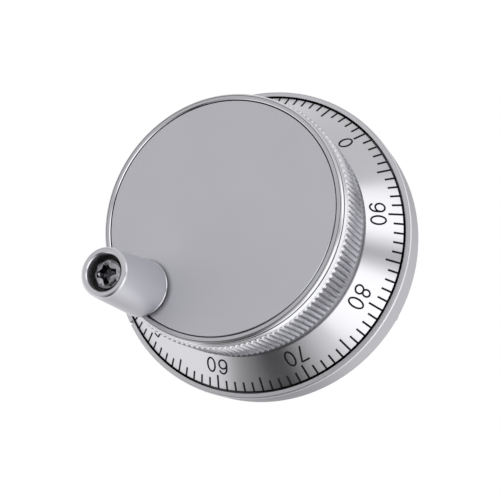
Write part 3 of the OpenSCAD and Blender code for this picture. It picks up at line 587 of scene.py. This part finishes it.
# Dial: a cone with an upright edge, a flange under the knob and a spigot inside it; a narrow lip at the
# cone's top leaves a low step under the knob, whose face is inked black as painted shade
dialShape = {
    "topR": 22.7, "topZ": 10.5265, "lip": 0.20, "footR": 22.62, "bezelH": 5.95, "edgeH": 1.2, "wall": 2.0,
    "flangeZ": 8.3265, "spigotR": 12.6, "spigotOut": 13.98, "spigotH": 0.8, "screwR": 18.3, "screwHole": 1.35,
}


def makeDial():
    s = dialShape
    slope = (s["topZ"] - s["bezelH"]) / (dialR - s["topR"])
    onFace = lambda out: (s["topR"] + out, s["topZ"] - out * slope)
    lipFoot, lipTop = onFace(s["lip"]), (s["footR"], s["topZ"] - s["lip"] * slope + 0.015)
    outline = [(s["spigotR"], s["flangeZ"]), (s["topR"] - s["wall"], s["flangeZ"]),
               (dialR - s["wall"] / 2, s["bezelH"] - s["edgeH"]), (dialR, s["bezelH"] - s["edgeH"]),
               (dialR, s["bezelH"]), onFace(s["lip"] + 0.05), lipFoot, lipTop,
               (s["footR"], s["topZ"]), (s["spigotOut"], s["topZ"]),
               (s["spigotOut"], s["topZ"] + s["spigotH"]), (s["spigotR"], s["topZ"] + s["spigotH"])]
    profile = easeCorners(outline, [0.1, 0.1, 0.1, 0.1, 0.06, 0, 0, 0, 0.02, 0.05, 0.1, 0.1], steps=5)
    piece = turned("dialCone", profile, columns=288, smooth=20)
    low, high = s["flangeZ"] - 1, s["topZ"] + 1
    drillOut(piece, drillSet("dialDrill", [(0, low), (s["screwHole"], low), (s["screwHole"], high), (0, high)],
                             s["screwR"], 3, math.degrees(zeroAngle)))
    settle(piece, "wheel", [dialMetal, inkAndPaintedShade, rimMetal], ["dial"])
    markFaces(piece, s["footR"] + 0.02, lipFoot[0], lipFoot[1], lipTop[1], material=2)
    # the step under the knob and the upright outer edge in the gap to the bezel are inked black: painted shade
    markFaces(piece, s["footR"] - 0.01, s["footR"] + 0.01, lipTop[1], s["topZ"])
    markFaces(piece, dialR - 0.03, dialR + 0.02, s["bezelH"] - s["edgeH"], s["bezelH"] - 0.05)


makeDial()
print("dial made")

# Graduation: strokes of ink on the cone; sizes in mm along the cone, from its outer edge inwards
graduation = {
    "divisions": 100, "longEvery": 5, "numberEvery": 10, "shortL": 1.9, "longL": 2.8,
    "tickW": 0.37, "tickStart": 0.0, "digitFoot": 6.25, "digitH": 2.92, "digitW": 1.62,
    "digitGap": 0.75, "strokeW": 0.34, "lift": 0.02, "sink": 0.02,
}
coneAngle = math.atan2(dialShape["topZ"] - dialShape["bezelH"], dialR - dialShape["topR"])


# The point on the cone at a distance in from the edge, an angle and a height above the surface
def onCone(inward, angle, above):
    radius = dialR - inward * math.cos(coneAngle) + above * math.sin(coneAngle)
    height = dialShape["bezelH"] + inward * math.sin(coneAngle) + above * math.cos(coneAngle)
    return onWheel(radius, angle, height)


# Arc of an ellipse between two angles in degrees, in the digit's unit box
def bow(x, y, rx, ry, start, end, steps=14):
    t = np.radians(np.linspace(start, end, steps))
    return np.stack([x + rx * np.cos(t), y + ry * np.sin(t)], axis=1)


digitStrokes = {
    "0": [bow(0.5, 0.5, 0.47, 0.5, 0, 360, 25)],
    "1": [np.array([(0.22, 0.78), (0.55, 1.0), (0.55, 0.0)])],
    "2": [np.vstack([bow(0.5, 0.72, 0.46, 0.28, 170, -30), [(0.04, 0.0), (1.0, 0.0)]])],
    "3": [np.vstack([bow(0.46, 0.755, 0.42, 0.245, 150, -80), bow(0.48, 0.265, 0.48, 0.265, 80, -150)])],
    "4": [np.array([(0.72, 0.0), (0.72, 1.0), (0.0, 0.30), (1.0, 0.30)])],
    "5": [np.vstack([[(0.9, 1.0), (0.2, 1.0), (0.1, 0.55)], bow(0.47, 0.33, 0.49, 0.33, 125, -145)])],
    "6": [bow(0.5, 0.32, 0.47, 0.32, 0, 360, 21),
          np.vstack([[(0.03, 0.32)], bow(0.5, 0.60, 0.47, 0.40, 180, 28, 13)])],
    "7": [np.array([(0.02, 1.0), (0.98, 1.0), (0.36, 0.0)])],
    "8": [bow(0.5, 0.76, 0.37, 0.24, 0, 360, 21), bow(0.5, 0.265, 0.47, 0.265, 0, 360, 21)],
    "9": [bow(0.5, 0.68, 0.47, 0.32, 0, 360, 21),
          np.vstack([[(0.97, 0.68)], bow(0.5, 0.40, 0.47, 0.40, 0, -152, 13)])],
}


# A stroke of ink along a path of (across, inward) points at one place of the dial: at each point the
# section is a flat box, set off to both sides along the path's normal
def inkStroke(path, angle, width):
    g = graduation
    ahead = np.gradient(path, axis=0)
    ahead /= np.linalg.norm(ahead, axis=1)[:, None]
    side = np.stack([-ahead[:, 1], ahead[:, 0]], axis=1) * width / 2
    left, right = path + side, path - side
    loop = np.stack([left, right, right, left], axis=1)
    above = np.array([-g["sink"], -g["sink"], g["lift"], g["lift"]])[None, :]
    radius = dialR - loop[:, :, 1] * math.cos(coneAngle)
    points = onCone(loop[:, :, 1], angle - loop[:, :, 0] / radius, above)
    count = len(path)
    index = np.arange(count * 4).reshape(count, 4)
    wrapped = np.hstack([index, index[:, :1]])
    quads = np.stack([wrapped[:-1, :-1], wrapped[1:, :-1], wrapped[1:, 1:], wrapped[:-1, 1:]],
                     axis=2).reshape(-1, 4)
    quads = np.vstack([quads, index[:1], index[-1:, ::-1]])
    return points.reshape(-1, 3), quads


# Long paths get points enough to follow the cone
def filled(path, step=0.25):
    length = np.concatenate([[0], np.cumsum(np.linalg.norm(np.diff(path, axis=0), axis=1))])
    at = np.unique(np.concatenate([length, np.arange(0, length[-1], step)]))
    return np.stack([np.interp(at, length, path[:, 0]), np.interp(at, length, path[:, 1])], axis=1)


def makeGraduation():
    g = graduation
    strokes = []
    for mark in range(g["divisions"]):
        length = g["longL"] if mark % g["longEvery"] == 0 else g["shortL"]
        angle = zeroAngle + mark * 2 * np.pi / g["divisions"]
        strokes.append(inkStroke(np.array([(0, g["tickStart"]), (0, length)]), angle, g["tickW"]))
    for number in range(0, g["divisions"], g["numberEvery"]):
        angle = zeroAngle + number * 2 * np.pi / g["divisions"]
        text = str(number)
        pitch = g["digitW"] + g["digitGap"]
        for place, digit in enumerate(text):
            shift = (place - (len(text) - 1) / 2) * pitch - g["digitW"] / 2
            for stroke in digitStrokes[digit]:
                path = np.stack([shift + stroke[:, 0] * g["digitW"],
                                 g["digitFoot"] - stroke[:, 1] * g["digitH"]], axis=1)
                strokes.append(inkStroke(filled(path), angle, g["strokeW"]))
    start = np.concatenate([[0], np.cumsum([len(points) for points, _ in strokes])])
    points = np.vstack([points for points, _ in strokes])
    quads = np.vstack([quads + first for (_, quads), first in zip(strokes, start)])
    mesh = bpy.data.meshes.new("dialMarks")
    mesh.from_pydata(points.tolist(), [], quads.tolist())
    work = bmesh.new()
    work.from_mesh(mesh)
    bmesh.ops.recalc_face_normals(work, faces=work.faces)
    work.to_mesh(mesh)
    work.free()
    piece = bpy.data.objects.new("dialMarks", mesh)
    bpy.context.scene.collection.objects.link(piece)
    settle(piece, "wheel", inkAndPaintedShade)
    return piece


dialMarks = makeGraduation()
print("graduation made:", len(dialMarks.data.polygons), "faces")

# Knob: foot, straight knurl, band with a groove, rounded rim, recess, hub and hollow
knobShape = {
    "rootR": 22.6, "knurlLow": 12.65, "knurlHigh": 21.2265, "teeth": 144,
    "valleyR": 22.7, "chamfer": 0.5, "lowChamfer": 0.12, "crestShare": 0.08, "bandLowR": 22.70,
    "bandHighR": 22.52, "grooveZ": 22.4265, "grooveW": 0.48, "grooveD": 0.2, "edge": 0.5, "rimInR": 21.35,
    "rimC": 0.15, "landW": 0.75, "sinkR": 4.0, "sinkZ": 18.3065, "boreR": 3.02,
    "boreTop": 17.3065, "screwBore": 1.6, "hubR": 7.0, "hubZ": 12.5, "hollowR": 14.0, "hollowTop": 18.5065,
    "dialDrill": 1.27, "dialDrillR": 18.3, "dialDrillLow": 9.0, "dialDrillTop": 15.83,
    "pinDrill": 1.52, "pinDrillLow": 14.4065, "pinDrillTop": 22.5,
}


def makeKnob():
    s = knobShape
    half = s["grooveW"] / 2
    low, high, chamfer = s["knurlLow"], s["knurlHigh"], s["chamfer"]
    valleyR, lowChamfer = s["valleyR"], s["lowChamfer"]
    outside = [(s["hollowR"], knobLow), (s["rootR"], knobLow), (s["rootR"], low), (valleyR, low),
               (valleyR, low + lowChamfer)]
    outside += [(valleyR, high - share * chamfer) for share in (1, 2 / 3, 1 / 3)]
    outside += [(s["bandLowR"], high), (s["bandHighR"], s["grooveZ"] - half),
                (s["bandHighR"] - s["grooveD"], s["grooveZ"]), (s["bandHighR"], s["grooveZ"] + half),
                (s["bandHighR"], rimTop), (s["rimInR"] + s["landW"], rimTop),
                (s["rimInR"] + s["rimC"], rimTop), (s["rimInR"], rimTop - s["rimC"])]
    inside = [(s["rimInR"], plateLow), (s["sinkR"], plateLow), (s["sinkR"], s["sinkZ"]),
              (s["screwBore"], s["sinkZ"]), (s["screwBore"], s["boreTop"]), (s["boreR"], s["boreTop"]),
              (s["boreR"], s["hubZ"]), (s["hubR"], s["hubZ"]), (s["hubR"], s["hollowTop"]),
              (s["hollowR"], s["hollowTop"])]
    radii = [0.1, 0.1] + [0] * 6 + [0.02, 0.03, 0.02, 0.03, s["edge"], 0, 0.03, 0.03] + [0] * 10
    profile = easeCorners(outside + inside, radii, steps=4)
    # five columns for each tooth: valley, flank, both sides of a narrow flat crest, flank; a chamfer at
    # each end of the knurl caps the height
    height = np.tile([0, 0.5, 1, 1, 0.5], s["teeth"])
    crest = 0.5 + s["crestShare"] / 2
    place = np.tile([0, (1 - crest) / 2, 1 - crest, crest, (1 + crest) / 2], s["teeth"])
    place += np.repeat(np.arange(s["teeth"]), 5)
    angle = zeroAngle + place * 2 * np.pi / s["teeth"]
    depth = knurlR - valleyR
    inward = np.minimum((profile[:, 1] - low) / lowChamfer, (high - profile[:, 1]) / chamfer) * depth
    inward = np.where(profile[:, 0] > valleyR - 0.001, np.clip(inward, 0, depth), 0)
    radius = profile[:, 0:1] + np.minimum(inward[:, None], height[None, :] * depth)
    piece = gridPiece("knobBody", onWheel(radius, angle[None, :], profile[:, 1:2]), smooth=25)
    drillOut(piece, drillSet("screwDrill", [(0, s["dialDrillLow"]), (s["dialDrill"], s["dialDrillLow"]),
                                            (s["dialDrill"], s["dialDrillTop"]), (0, s["dialDrillTop"])],
                             s["dialDrillR"], 3, math.degrees(zeroAngle)), smooth=25)
    drillOut(piece, drillSet("pinDrill", [(0, s["pinDrillLow"]), (s["pinDrill"], s["pinDrillLow"]),
                                          (s["pinDrill"], s["pinDrillTop"]), (0, s["pinDrillTop"])],
                             pinR, 1, math.degrees(pinAngle)), smooth=25)
    settle(piece, "wheel", [knurlMetal, rimMetal, inkAndPaintedShade, rimLandMetal, neckMetal], ["knob"])
    markFaces(piece, s["rootR"] - 0.2, s["rootR"] + 0.01, knobLow, s["knurlLow"], material=4)
    # the band above the knurl, the rim and the knurl's chamfer are turned bright; the groove and the rim's inside
    # wall round the face plate are inked black as painted shade
    markFaces(piece, s["rimInR"] - 0.1, knurlR + 1, high + 0.01, rimTop + 1)
    markFaces(piece, s["rimInR"] - 0.01, s["rimInR"] + 0.01, plateLow, rimTop - s["rimC"] - 0.01,
              material=2)
    markFaces(piece, s["rimInR"] + s["rimC"] - 0.02, s["rimInR"] + s["landW"], rimTop - 0.01, rimTop + 0.01,
              material=3)
    markFaces(piece, valleyR + 0.02, knurlR - 0.02, high - chamfer + 0.02, high + 0.02)
    markFaces(piece, s["bandHighR"] - s["grooveD"], s["bandHighR"] - 0.02, s["grooveZ"] - half,
              s["grooveZ"] + half, material=2)
    return piece


knobBody = makeKnob()
print("knob made:", len(knobBody.data.polygons), "faces")

# Face plate: a thin disc with a bright chamfer, glued into the front recess
plateShape = {
    "edge": 0.12, "rearEdge": 0.1, "play": 0.02, "hole": 1.77, "drillLow": 21.0, "drillTop": 24.0,
}


def makePlate():
    s = plateShape
    edge, outer = s["edge"], plateR - s["play"]
    profile = np.array([(0, plateLow), (outer - s["rearEdge"], plateLow), (outer, plateLow + s["rearEdge"]),
                        (outer, plateTop - edge), (outer - edge * 0.35, plateTop - edge * 0.65),
                        (outer - edge, plateTop), (0, plateTop)])
    points = onWheel(profile[:, 0:1], np.linspace(0, 2 * np.pi, 288, endpoint=False)[None, :], profile[:, 1:2])
    piece = gridPiece("plateDisc", points, closeRows=False, smooth=15)
    low, high = s["drillLow"], s["drillTop"]
    drillOut(piece, drillSet("plateDrill", [(0, low), (s["hole"], low), (s["hole"], high), (0, high)], pinR, 1,
                             math.degrees(pinAngle)), smooth=15)
    settle(piece, "wheel", [plateMetal, rimMetal, inkAndPaintedShade], ["face_plate"])
    markFaces(piece, outer - edge, outer + 0.01, plateTop - edge, plateTop)
    # the outer wall, in the gap to the knob's rim, is inked black: painted shade
    markFaces(piece, outer - 0.01, outer + 0.01, plateLow + s["rearEdge"], plateTop - edge, material=2)


makePlate()
print("plate made")

# Handle: a tapered sleeve with a rounded tip, a plain bore and a narrow bright chamfer above its foot
handleShape = {
    "baseEdge": 0.12, "footH": 0.26, "footW": 0.08, "tipR": 4.3, "tipEdge": 0.5, "boreR": 3.2, "boreEdge": 0.2,
}


def makeHandle():
    s = handleShape
    edge = s["baseEdge"]
    outline = [(s["boreR"], handleLow), (handleR - edge, handleLow), (handleR, handleLow + edge),
               (handleR, handleLow + s["footH"]), (handleR - s["footW"], handleLow + s["footH"] + s["footW"]),
               (s["tipR"], tipTop), (s["boreR"] + s["boreEdge"], tipTop), (s["boreR"], tipTop - s["boreEdge"])]
    profile = easeCorners(outline, [0.1, 0.03, 0.03, 0.02, 0.02, s["tipEdge"], 0.05, 0.05], steps=8)
    piece = turned("handleSleeve", profile, columns=128, centre=pinCentre, smooth=35)
    settle(piece, "grip", [handleMetal, tipMetal, boreMetal, rimMetal], ["handle"])
    markFaces(piece, 0, handleR, tipTop - s["tipEdge"] * 0.8, tipTop + 1, pinCentre, 1)
    markFaces(piece, 0, s["boreR"] + 0.02, handleLow, tipTop - s["boreEdge"] + 0.01, pinCentre, 2)
    markFaces(piece, handleR - s["footW"] - 0.01, handleR, handleLow + s["footH"],
              handleLow + s["footH"] + s["footW"] + 0.01, pinCentre, 3)
    markFaces(piece, 0, handleR - edge, handleLow - 0.01, handleLow + 0.01, pinCentre, 2)


makeHandle()
print("handle made")

# Spindle: a shoulder screw with a domed head and a cross recess with tapered wings
spindleShape = {
    "threadR": 1.5, "threadEdge": 0.25, "shoulderR": 1.75, "headH": 1.9,
    "domeR": 4.4, "wingL": 2.15, "wingW": 0.55, "flare": 0.15, "recessDepth": 1.45, "turn": 4.0,
}


def makeSpindle():
    s = spindleShape
    outline = [(s["threadR"], threadLow), (s["threadR"], plateLow), (s["shoulderR"], plateLow),
               (s["shoulderR"], headTop - s["headH"]), (headR, headTop - s["headH"]),
               (headR, headTop - (s["domeR"] - math.sqrt(s["domeR"] ** 2 - headR ** 2)))]
    body = easeCorners(outline, [0.0, 0.02, 0.02, 0.1, 0.12, 0.0], steps=5)[1:-1]
    across = np.linspace(headR, 0, 14)
    dome = np.stack([across, headTop - (s["domeR"] - np.sqrt(s["domeR"] ** 2 - across ** 2))], axis=1)
    profile = np.vstack([[(0, threadLow), (s["threadR"] - s["threadEdge"], threadLow),
                          (s["threadR"], threadLow + s["threadEdge"])], body, dome])
    angle = np.linspace(0, 2 * np.pi, 96, endpoint=False)
    points = onAxis(pinCentre, profile[:, 0:1], angle[None, :], profile[:, 1:2])
    piece = gridPiece("spindleScrew", points, closeRows=False)
    drillOut(piece, crossDrill(s), smooth=25)
    settle(piece, "wheel", [darkChrome, recessPaintedShade, inkAndPaintedShade], ["handle_spindle"])
    # the head's side wall is inked black: painted shade against the bore
    markFaces(piece, headR - 0.15, headR + 0.01, headTop - s["headH"] - 0.1, headTop - 0.75, pinCentre, 2)
    # the deeper faces of the cross recess take the near-black recess metal: painted shade in the recess
    for reach, depth in ((0.9, 0.12), (1.6, 0.35), (2.3, 0.75)):
        markFaces(piece, 0, reach, headTop - 1.6, headTop - depth, pinCentre)


# The recess narrows with depth: at each depth its outline is a cross with eased corners,
# and the cross closes to a point below
def crossDrill(s):
    depth = np.array([-0.5, 0.0, 0.15, 0.35, 0.6, 0.85, 1.1, 1.3, 1.45]) / 1.45 * s["recessDepth"]
    flare = np.array([1.0, 1.0, 0.3, 0, 0, 0, 0, 0, 0]) * s["flare"]
    share = np.clip(depth / s["recessDepth"], 0, 1)
    long = s["wingL"] * (1 - 0.50 * share) + flare
    wide = s["wingW"] * (1 - 0.30 * share) + flare
    rows = []
    for wingL, wingW in zip(long, wide):
        arm = np.array([(wingL, -wingW), (wingL, wingW), (wingW, wingW)])
        turns = np.radians([0, 90, 180, 270])
        outline = np.vstack([arm @ np.array([(math.cos(t), math.sin(t)), (-math.sin(t), math.cos(t))])
                             for t in turns])
        rows.append(easeCorners(outline, [wingW * 0.55, wingW * 0.55, wingW * 1.7] * 4, steps=5))
    rows = np.array(rows)
    rows = np.concatenate([rows[:1] * 0, rows, rows[-1:] * 0])
    z = headTop - np.concatenate([depth[:1], depth, depth[-1:] + 0.25])
    turn = math.radians(s["turn"])
    x = rows[..., 0] * math.cos(turn) - rows[..., 1] * math.sin(turn)
    y = rows[..., 0] * math.sin(turn) + rows[..., 1] * math.cos(turn)
    points = np.stack([x + pinCentre[0], -np.broadcast_to(z[:, None], x.shape), y + pinCentre[1]], axis=-1) * mm
    return gridPiece("crossDrill", points, closeRows=False)


makeSpindle()
print("spindle made")

# Studio: a pale floor well below, a light tent round the wheel and one soft lamp from the upper left
studio = {
    "floorZ": -0.25, "floorSize": 12.0, "floorTone": 0.92, "floorLift": 0.10, "tent": 0.91, "backdrop": 1.04,
    "lampPower": 0.5, "lampSize": 0.30, "lampPlace": (-0.30, -0.50, 0.42),
}


def makeFloor():
    half = studio["floorSize"] / 2
    mesh = bpy.data.meshes.new("studioFloor")
    mesh.from_pydata([(-half, -half, studio["floorZ"]), (half, -half, studio["floorZ"]),
                      (half, half, studio["floorZ"]), (-half, half, studio["floorZ"])], [], [(0, 1, 2, 3)])
    floor = bpy.data.objects.new("studioFloor", mesh)
    bpy.context.scene.collection.objects.link(floor)
    tone = studio["floorTone"]
    material, tree, shader, place = newFinish("paleFloor", (tone, tone, tone), 0.9)
    drift = noise(tree, place.outputs["Object"], 3.0, 2.0)
    tree.links.new(shades(tree, drift, [tone - 0.01] * 3, [tone + 0.01] * 3), shader.inputs["Base Color"])
    # the camera sees it a little lighter; the wheel gets no light from that
    path = tree.nodes.new("ShaderNodeLightPath")
    lift = tree.nodes.new("ShaderNodeMath")
    lift.operation = "MULTIPLY"
    lift.inputs[1].default_value = studio["floorLift"]
    tree.links.new(path.outputs["Is Camera Ray"], lift.inputs[0])
    tree.links.new(lift.outputs["Value"], shader.inputs["Emission Strength"])
    shader.inputs["Emission Color"].default_value = (1, 1, 1, 1)
    mesh.materials.append(material)
    floor.visible_glossy = False


# Patches of the tent: direction as seen from the wheel (right, up, front), cosines of the patch's outer
# and inner edge, and the light level that it fades to
tentPatches = [
    ((-0.35, 0.26, 0.90), 0.80, 0.98, 0.75),
    ((0.38, 0.87, 0.32), 0.80, 0.95, 0.72),
    ((-0.60, 0.65, 0.45), 0.85, 0.97, 0.59),
    ((-0.90, -0.35, 0.20), 0.75, 0.95, 1.10),
    ((0.94, -0.28, -0.20), 0.70, 0.90, 1.69),
    ((0.82, 0.32, 0.47), 0.93, 0.965, 1.62),
    ((0.66, -0.44, 0.61), 0.91, 0.95, 1.62),
    ((-0.30, -0.94, 0.15), 0.95, 0.985, 0.39),
]
# Dark gaps between the sheets of the tent: the gap's normal, its offset, half its width inside and
# outside its soft edge, the side of the tent that it is on with two cosines, and its light level
tentGaps = [
    ((0.208, 0.978, 0.0), 0.18, 0.0, 0.20, (0.90, 0.0, 0.40), 0.30, 0.60, 0.52),
    ((0.978, 0.208, 0.0), -0.30, 0.08, 0.50, (0.0, -0.94, 0.34), 0.20, 0.60, 0.07),
]
# The same patches behind the wheel, on its white backdrop
backPatches = [
    ((0.30, -0.55, -0.78), 0.90, 0.97, 1.43),
    ((-0.22, -0.50, -0.84), 0.93, 0.98, 0.45),
    ((0.12, 0.45, -0.88), 0.85, 0.97, 0.65),
    ((0.62, -0.05, -0.78), 0.88, 0.96, 1.30),
]


def makeTent():
    world = bpy.data.worlds.new("lightTent")
    bpy.context.scene.world = world
    world.use_nodes = True
    tree = world.node_tree
    tree.nodes.clear()
    place = tree.nodes.new("ShaderNodeTexCoord")
    level = studio["tent"]
    for direction, outer, inner, light in tentPatches:
        level = towards(tree, level, light, facing(tree, place, direction, outer, inner))
    for normal, offset, inside, outside, side, outer, inner, light in tentGaps:
        both = tree.nodes.new("ShaderNodeMath")
        both.operation = "MULTIPLY"
        tree.links.new(inGap(tree, place, normal, offset, inside, outside), both.inputs[0])
        tree.links.new(facing(tree, place, side, outer, inner), both.inputs[1])
        level = towards(tree, level, light, both.outputs["Value"])
    level = towards(tree, level, studio["backdrop"], facing(tree, place, (0, 0, -1), 0.0, 0.25))
    for direction, outer, inner, light in backPatches:
        level = towards(tree, level, light, facing(tree, place, direction, outer, inner))
    tent = tree.nodes.new("ShaderNodeBackground")
    tree.links.new(level, tent.inputs["Strength"])
    white = tree.nodes.new("ShaderNodeBackground")
    white.inputs["Strength"].default_value = 1.0
    for shade in (tent, white):
        shade.inputs["Color"].default_value = (1, 1, 1, 1)
    path = tree.nodes.new("ShaderNodeLightPath")
    mix = tree.nodes.new("ShaderNodeMixShader")
    out = tree.nodes.new("ShaderNodeOutputWorld")
    tree.links.new(path.outputs["Is Camera Ray"], mix.inputs["Fac"])
    tree.links.new(tent.outputs["Background"], mix.inputs[1])
    tree.links.new(white.outputs["Background"], mix.inputs[2])
    tree.links.new(mix.outputs["Shader"], out.inputs["Surface"])


# Light level mixed towards another by a share; the first level may be a plain number
def towards(tree, level, light, share):
    blend = tree.nodes.new("ShaderNodeMix")
    blend.data_type = "FLOAT"
    blend.inputs["B"].default_value = light
    tree.links.new(share, blend.inputs["Factor"])
    if isinstance(level, float):
        blend.inputs["A"].default_value = level
    else:
        tree.links.new(level, blend.inputs["A"])
    return blend.outputs["Result"]


# Share that falls from 1 to 0 with the distance of the ray's cosine to the normal from the offset
def inGap(tree, place, normal, offset, inside, outside):
    unit = Vector((normal[0], -normal[2], normal[1])).normalized()
    dot = tree.nodes.new("ShaderNodeVectorMath")
    dot.operation = "DOT_PRODUCT"
    dot.inputs[1].default_value = unit
    tree.links.new(place.outputs["Generated"], dot.inputs[0])
    apart = tree.nodes.new("ShaderNodeMath")
    apart.operation = "SUBTRACT"
    apart.inputs[1].default_value = offset
    size = tree.nodes.new("ShaderNodeMath")
    size.operation = "ABSOLUTE"
    tree.links.new(dot.outputs["Value"], apart.inputs[0])
    tree.links.new(apart.outputs["Value"], size.inputs[0])
    return between(tree, size.outputs["Value"], 1.0, 0.0, inside, outside)


# Share from 0 to 1 by the cosine between the ray and a direction (right, up, front)
def facing(tree, place, direction, outer, inner):
    unit = Vector((direction[0], -direction[2], direction[1])).normalized()
    dot = tree.nodes.new("ShaderNodeVectorMath")
    dot.operation = "DOT_PRODUCT"
    dot.inputs[1].default_value = unit
    tree.links.new(place.outputs["Generated"], dot.inputs[0])
    ramp = tree.nodes.new("ShaderNodeMapRange")
    ramp.interpolation_type = "SMOOTHSTEP"
    ramp.inputs["From Min"].default_value = outer
    ramp.inputs["From Max"].default_value = inner
    tree.links.new(dot.outputs["Value"], ramp.inputs["Value"])
    return ramp.outputs["Result"]


def makeLamp():
    data = bpy.data.lights.new("softLamp", "AREA")
    data.energy = studio["lampPower"]
    data.size = studio["lampSize"]
    lamp = bpy.data.objects.new("softLamp", data)
    bpy.context.scene.collection.objects.link(lamp)
    lamp.location = studio["lampPlace"]
    lamp.rotation_mode = "QUATERNION"
    lamp.rotation_quaternion = (-Vector(studio["lampPlace"])).to_track_quat("-Z", "Y")
    lamp.visible_camera = False
    lamp.visible_glossy = False


makeFloor()
makeTent()
makeLamp()
print("studio made")
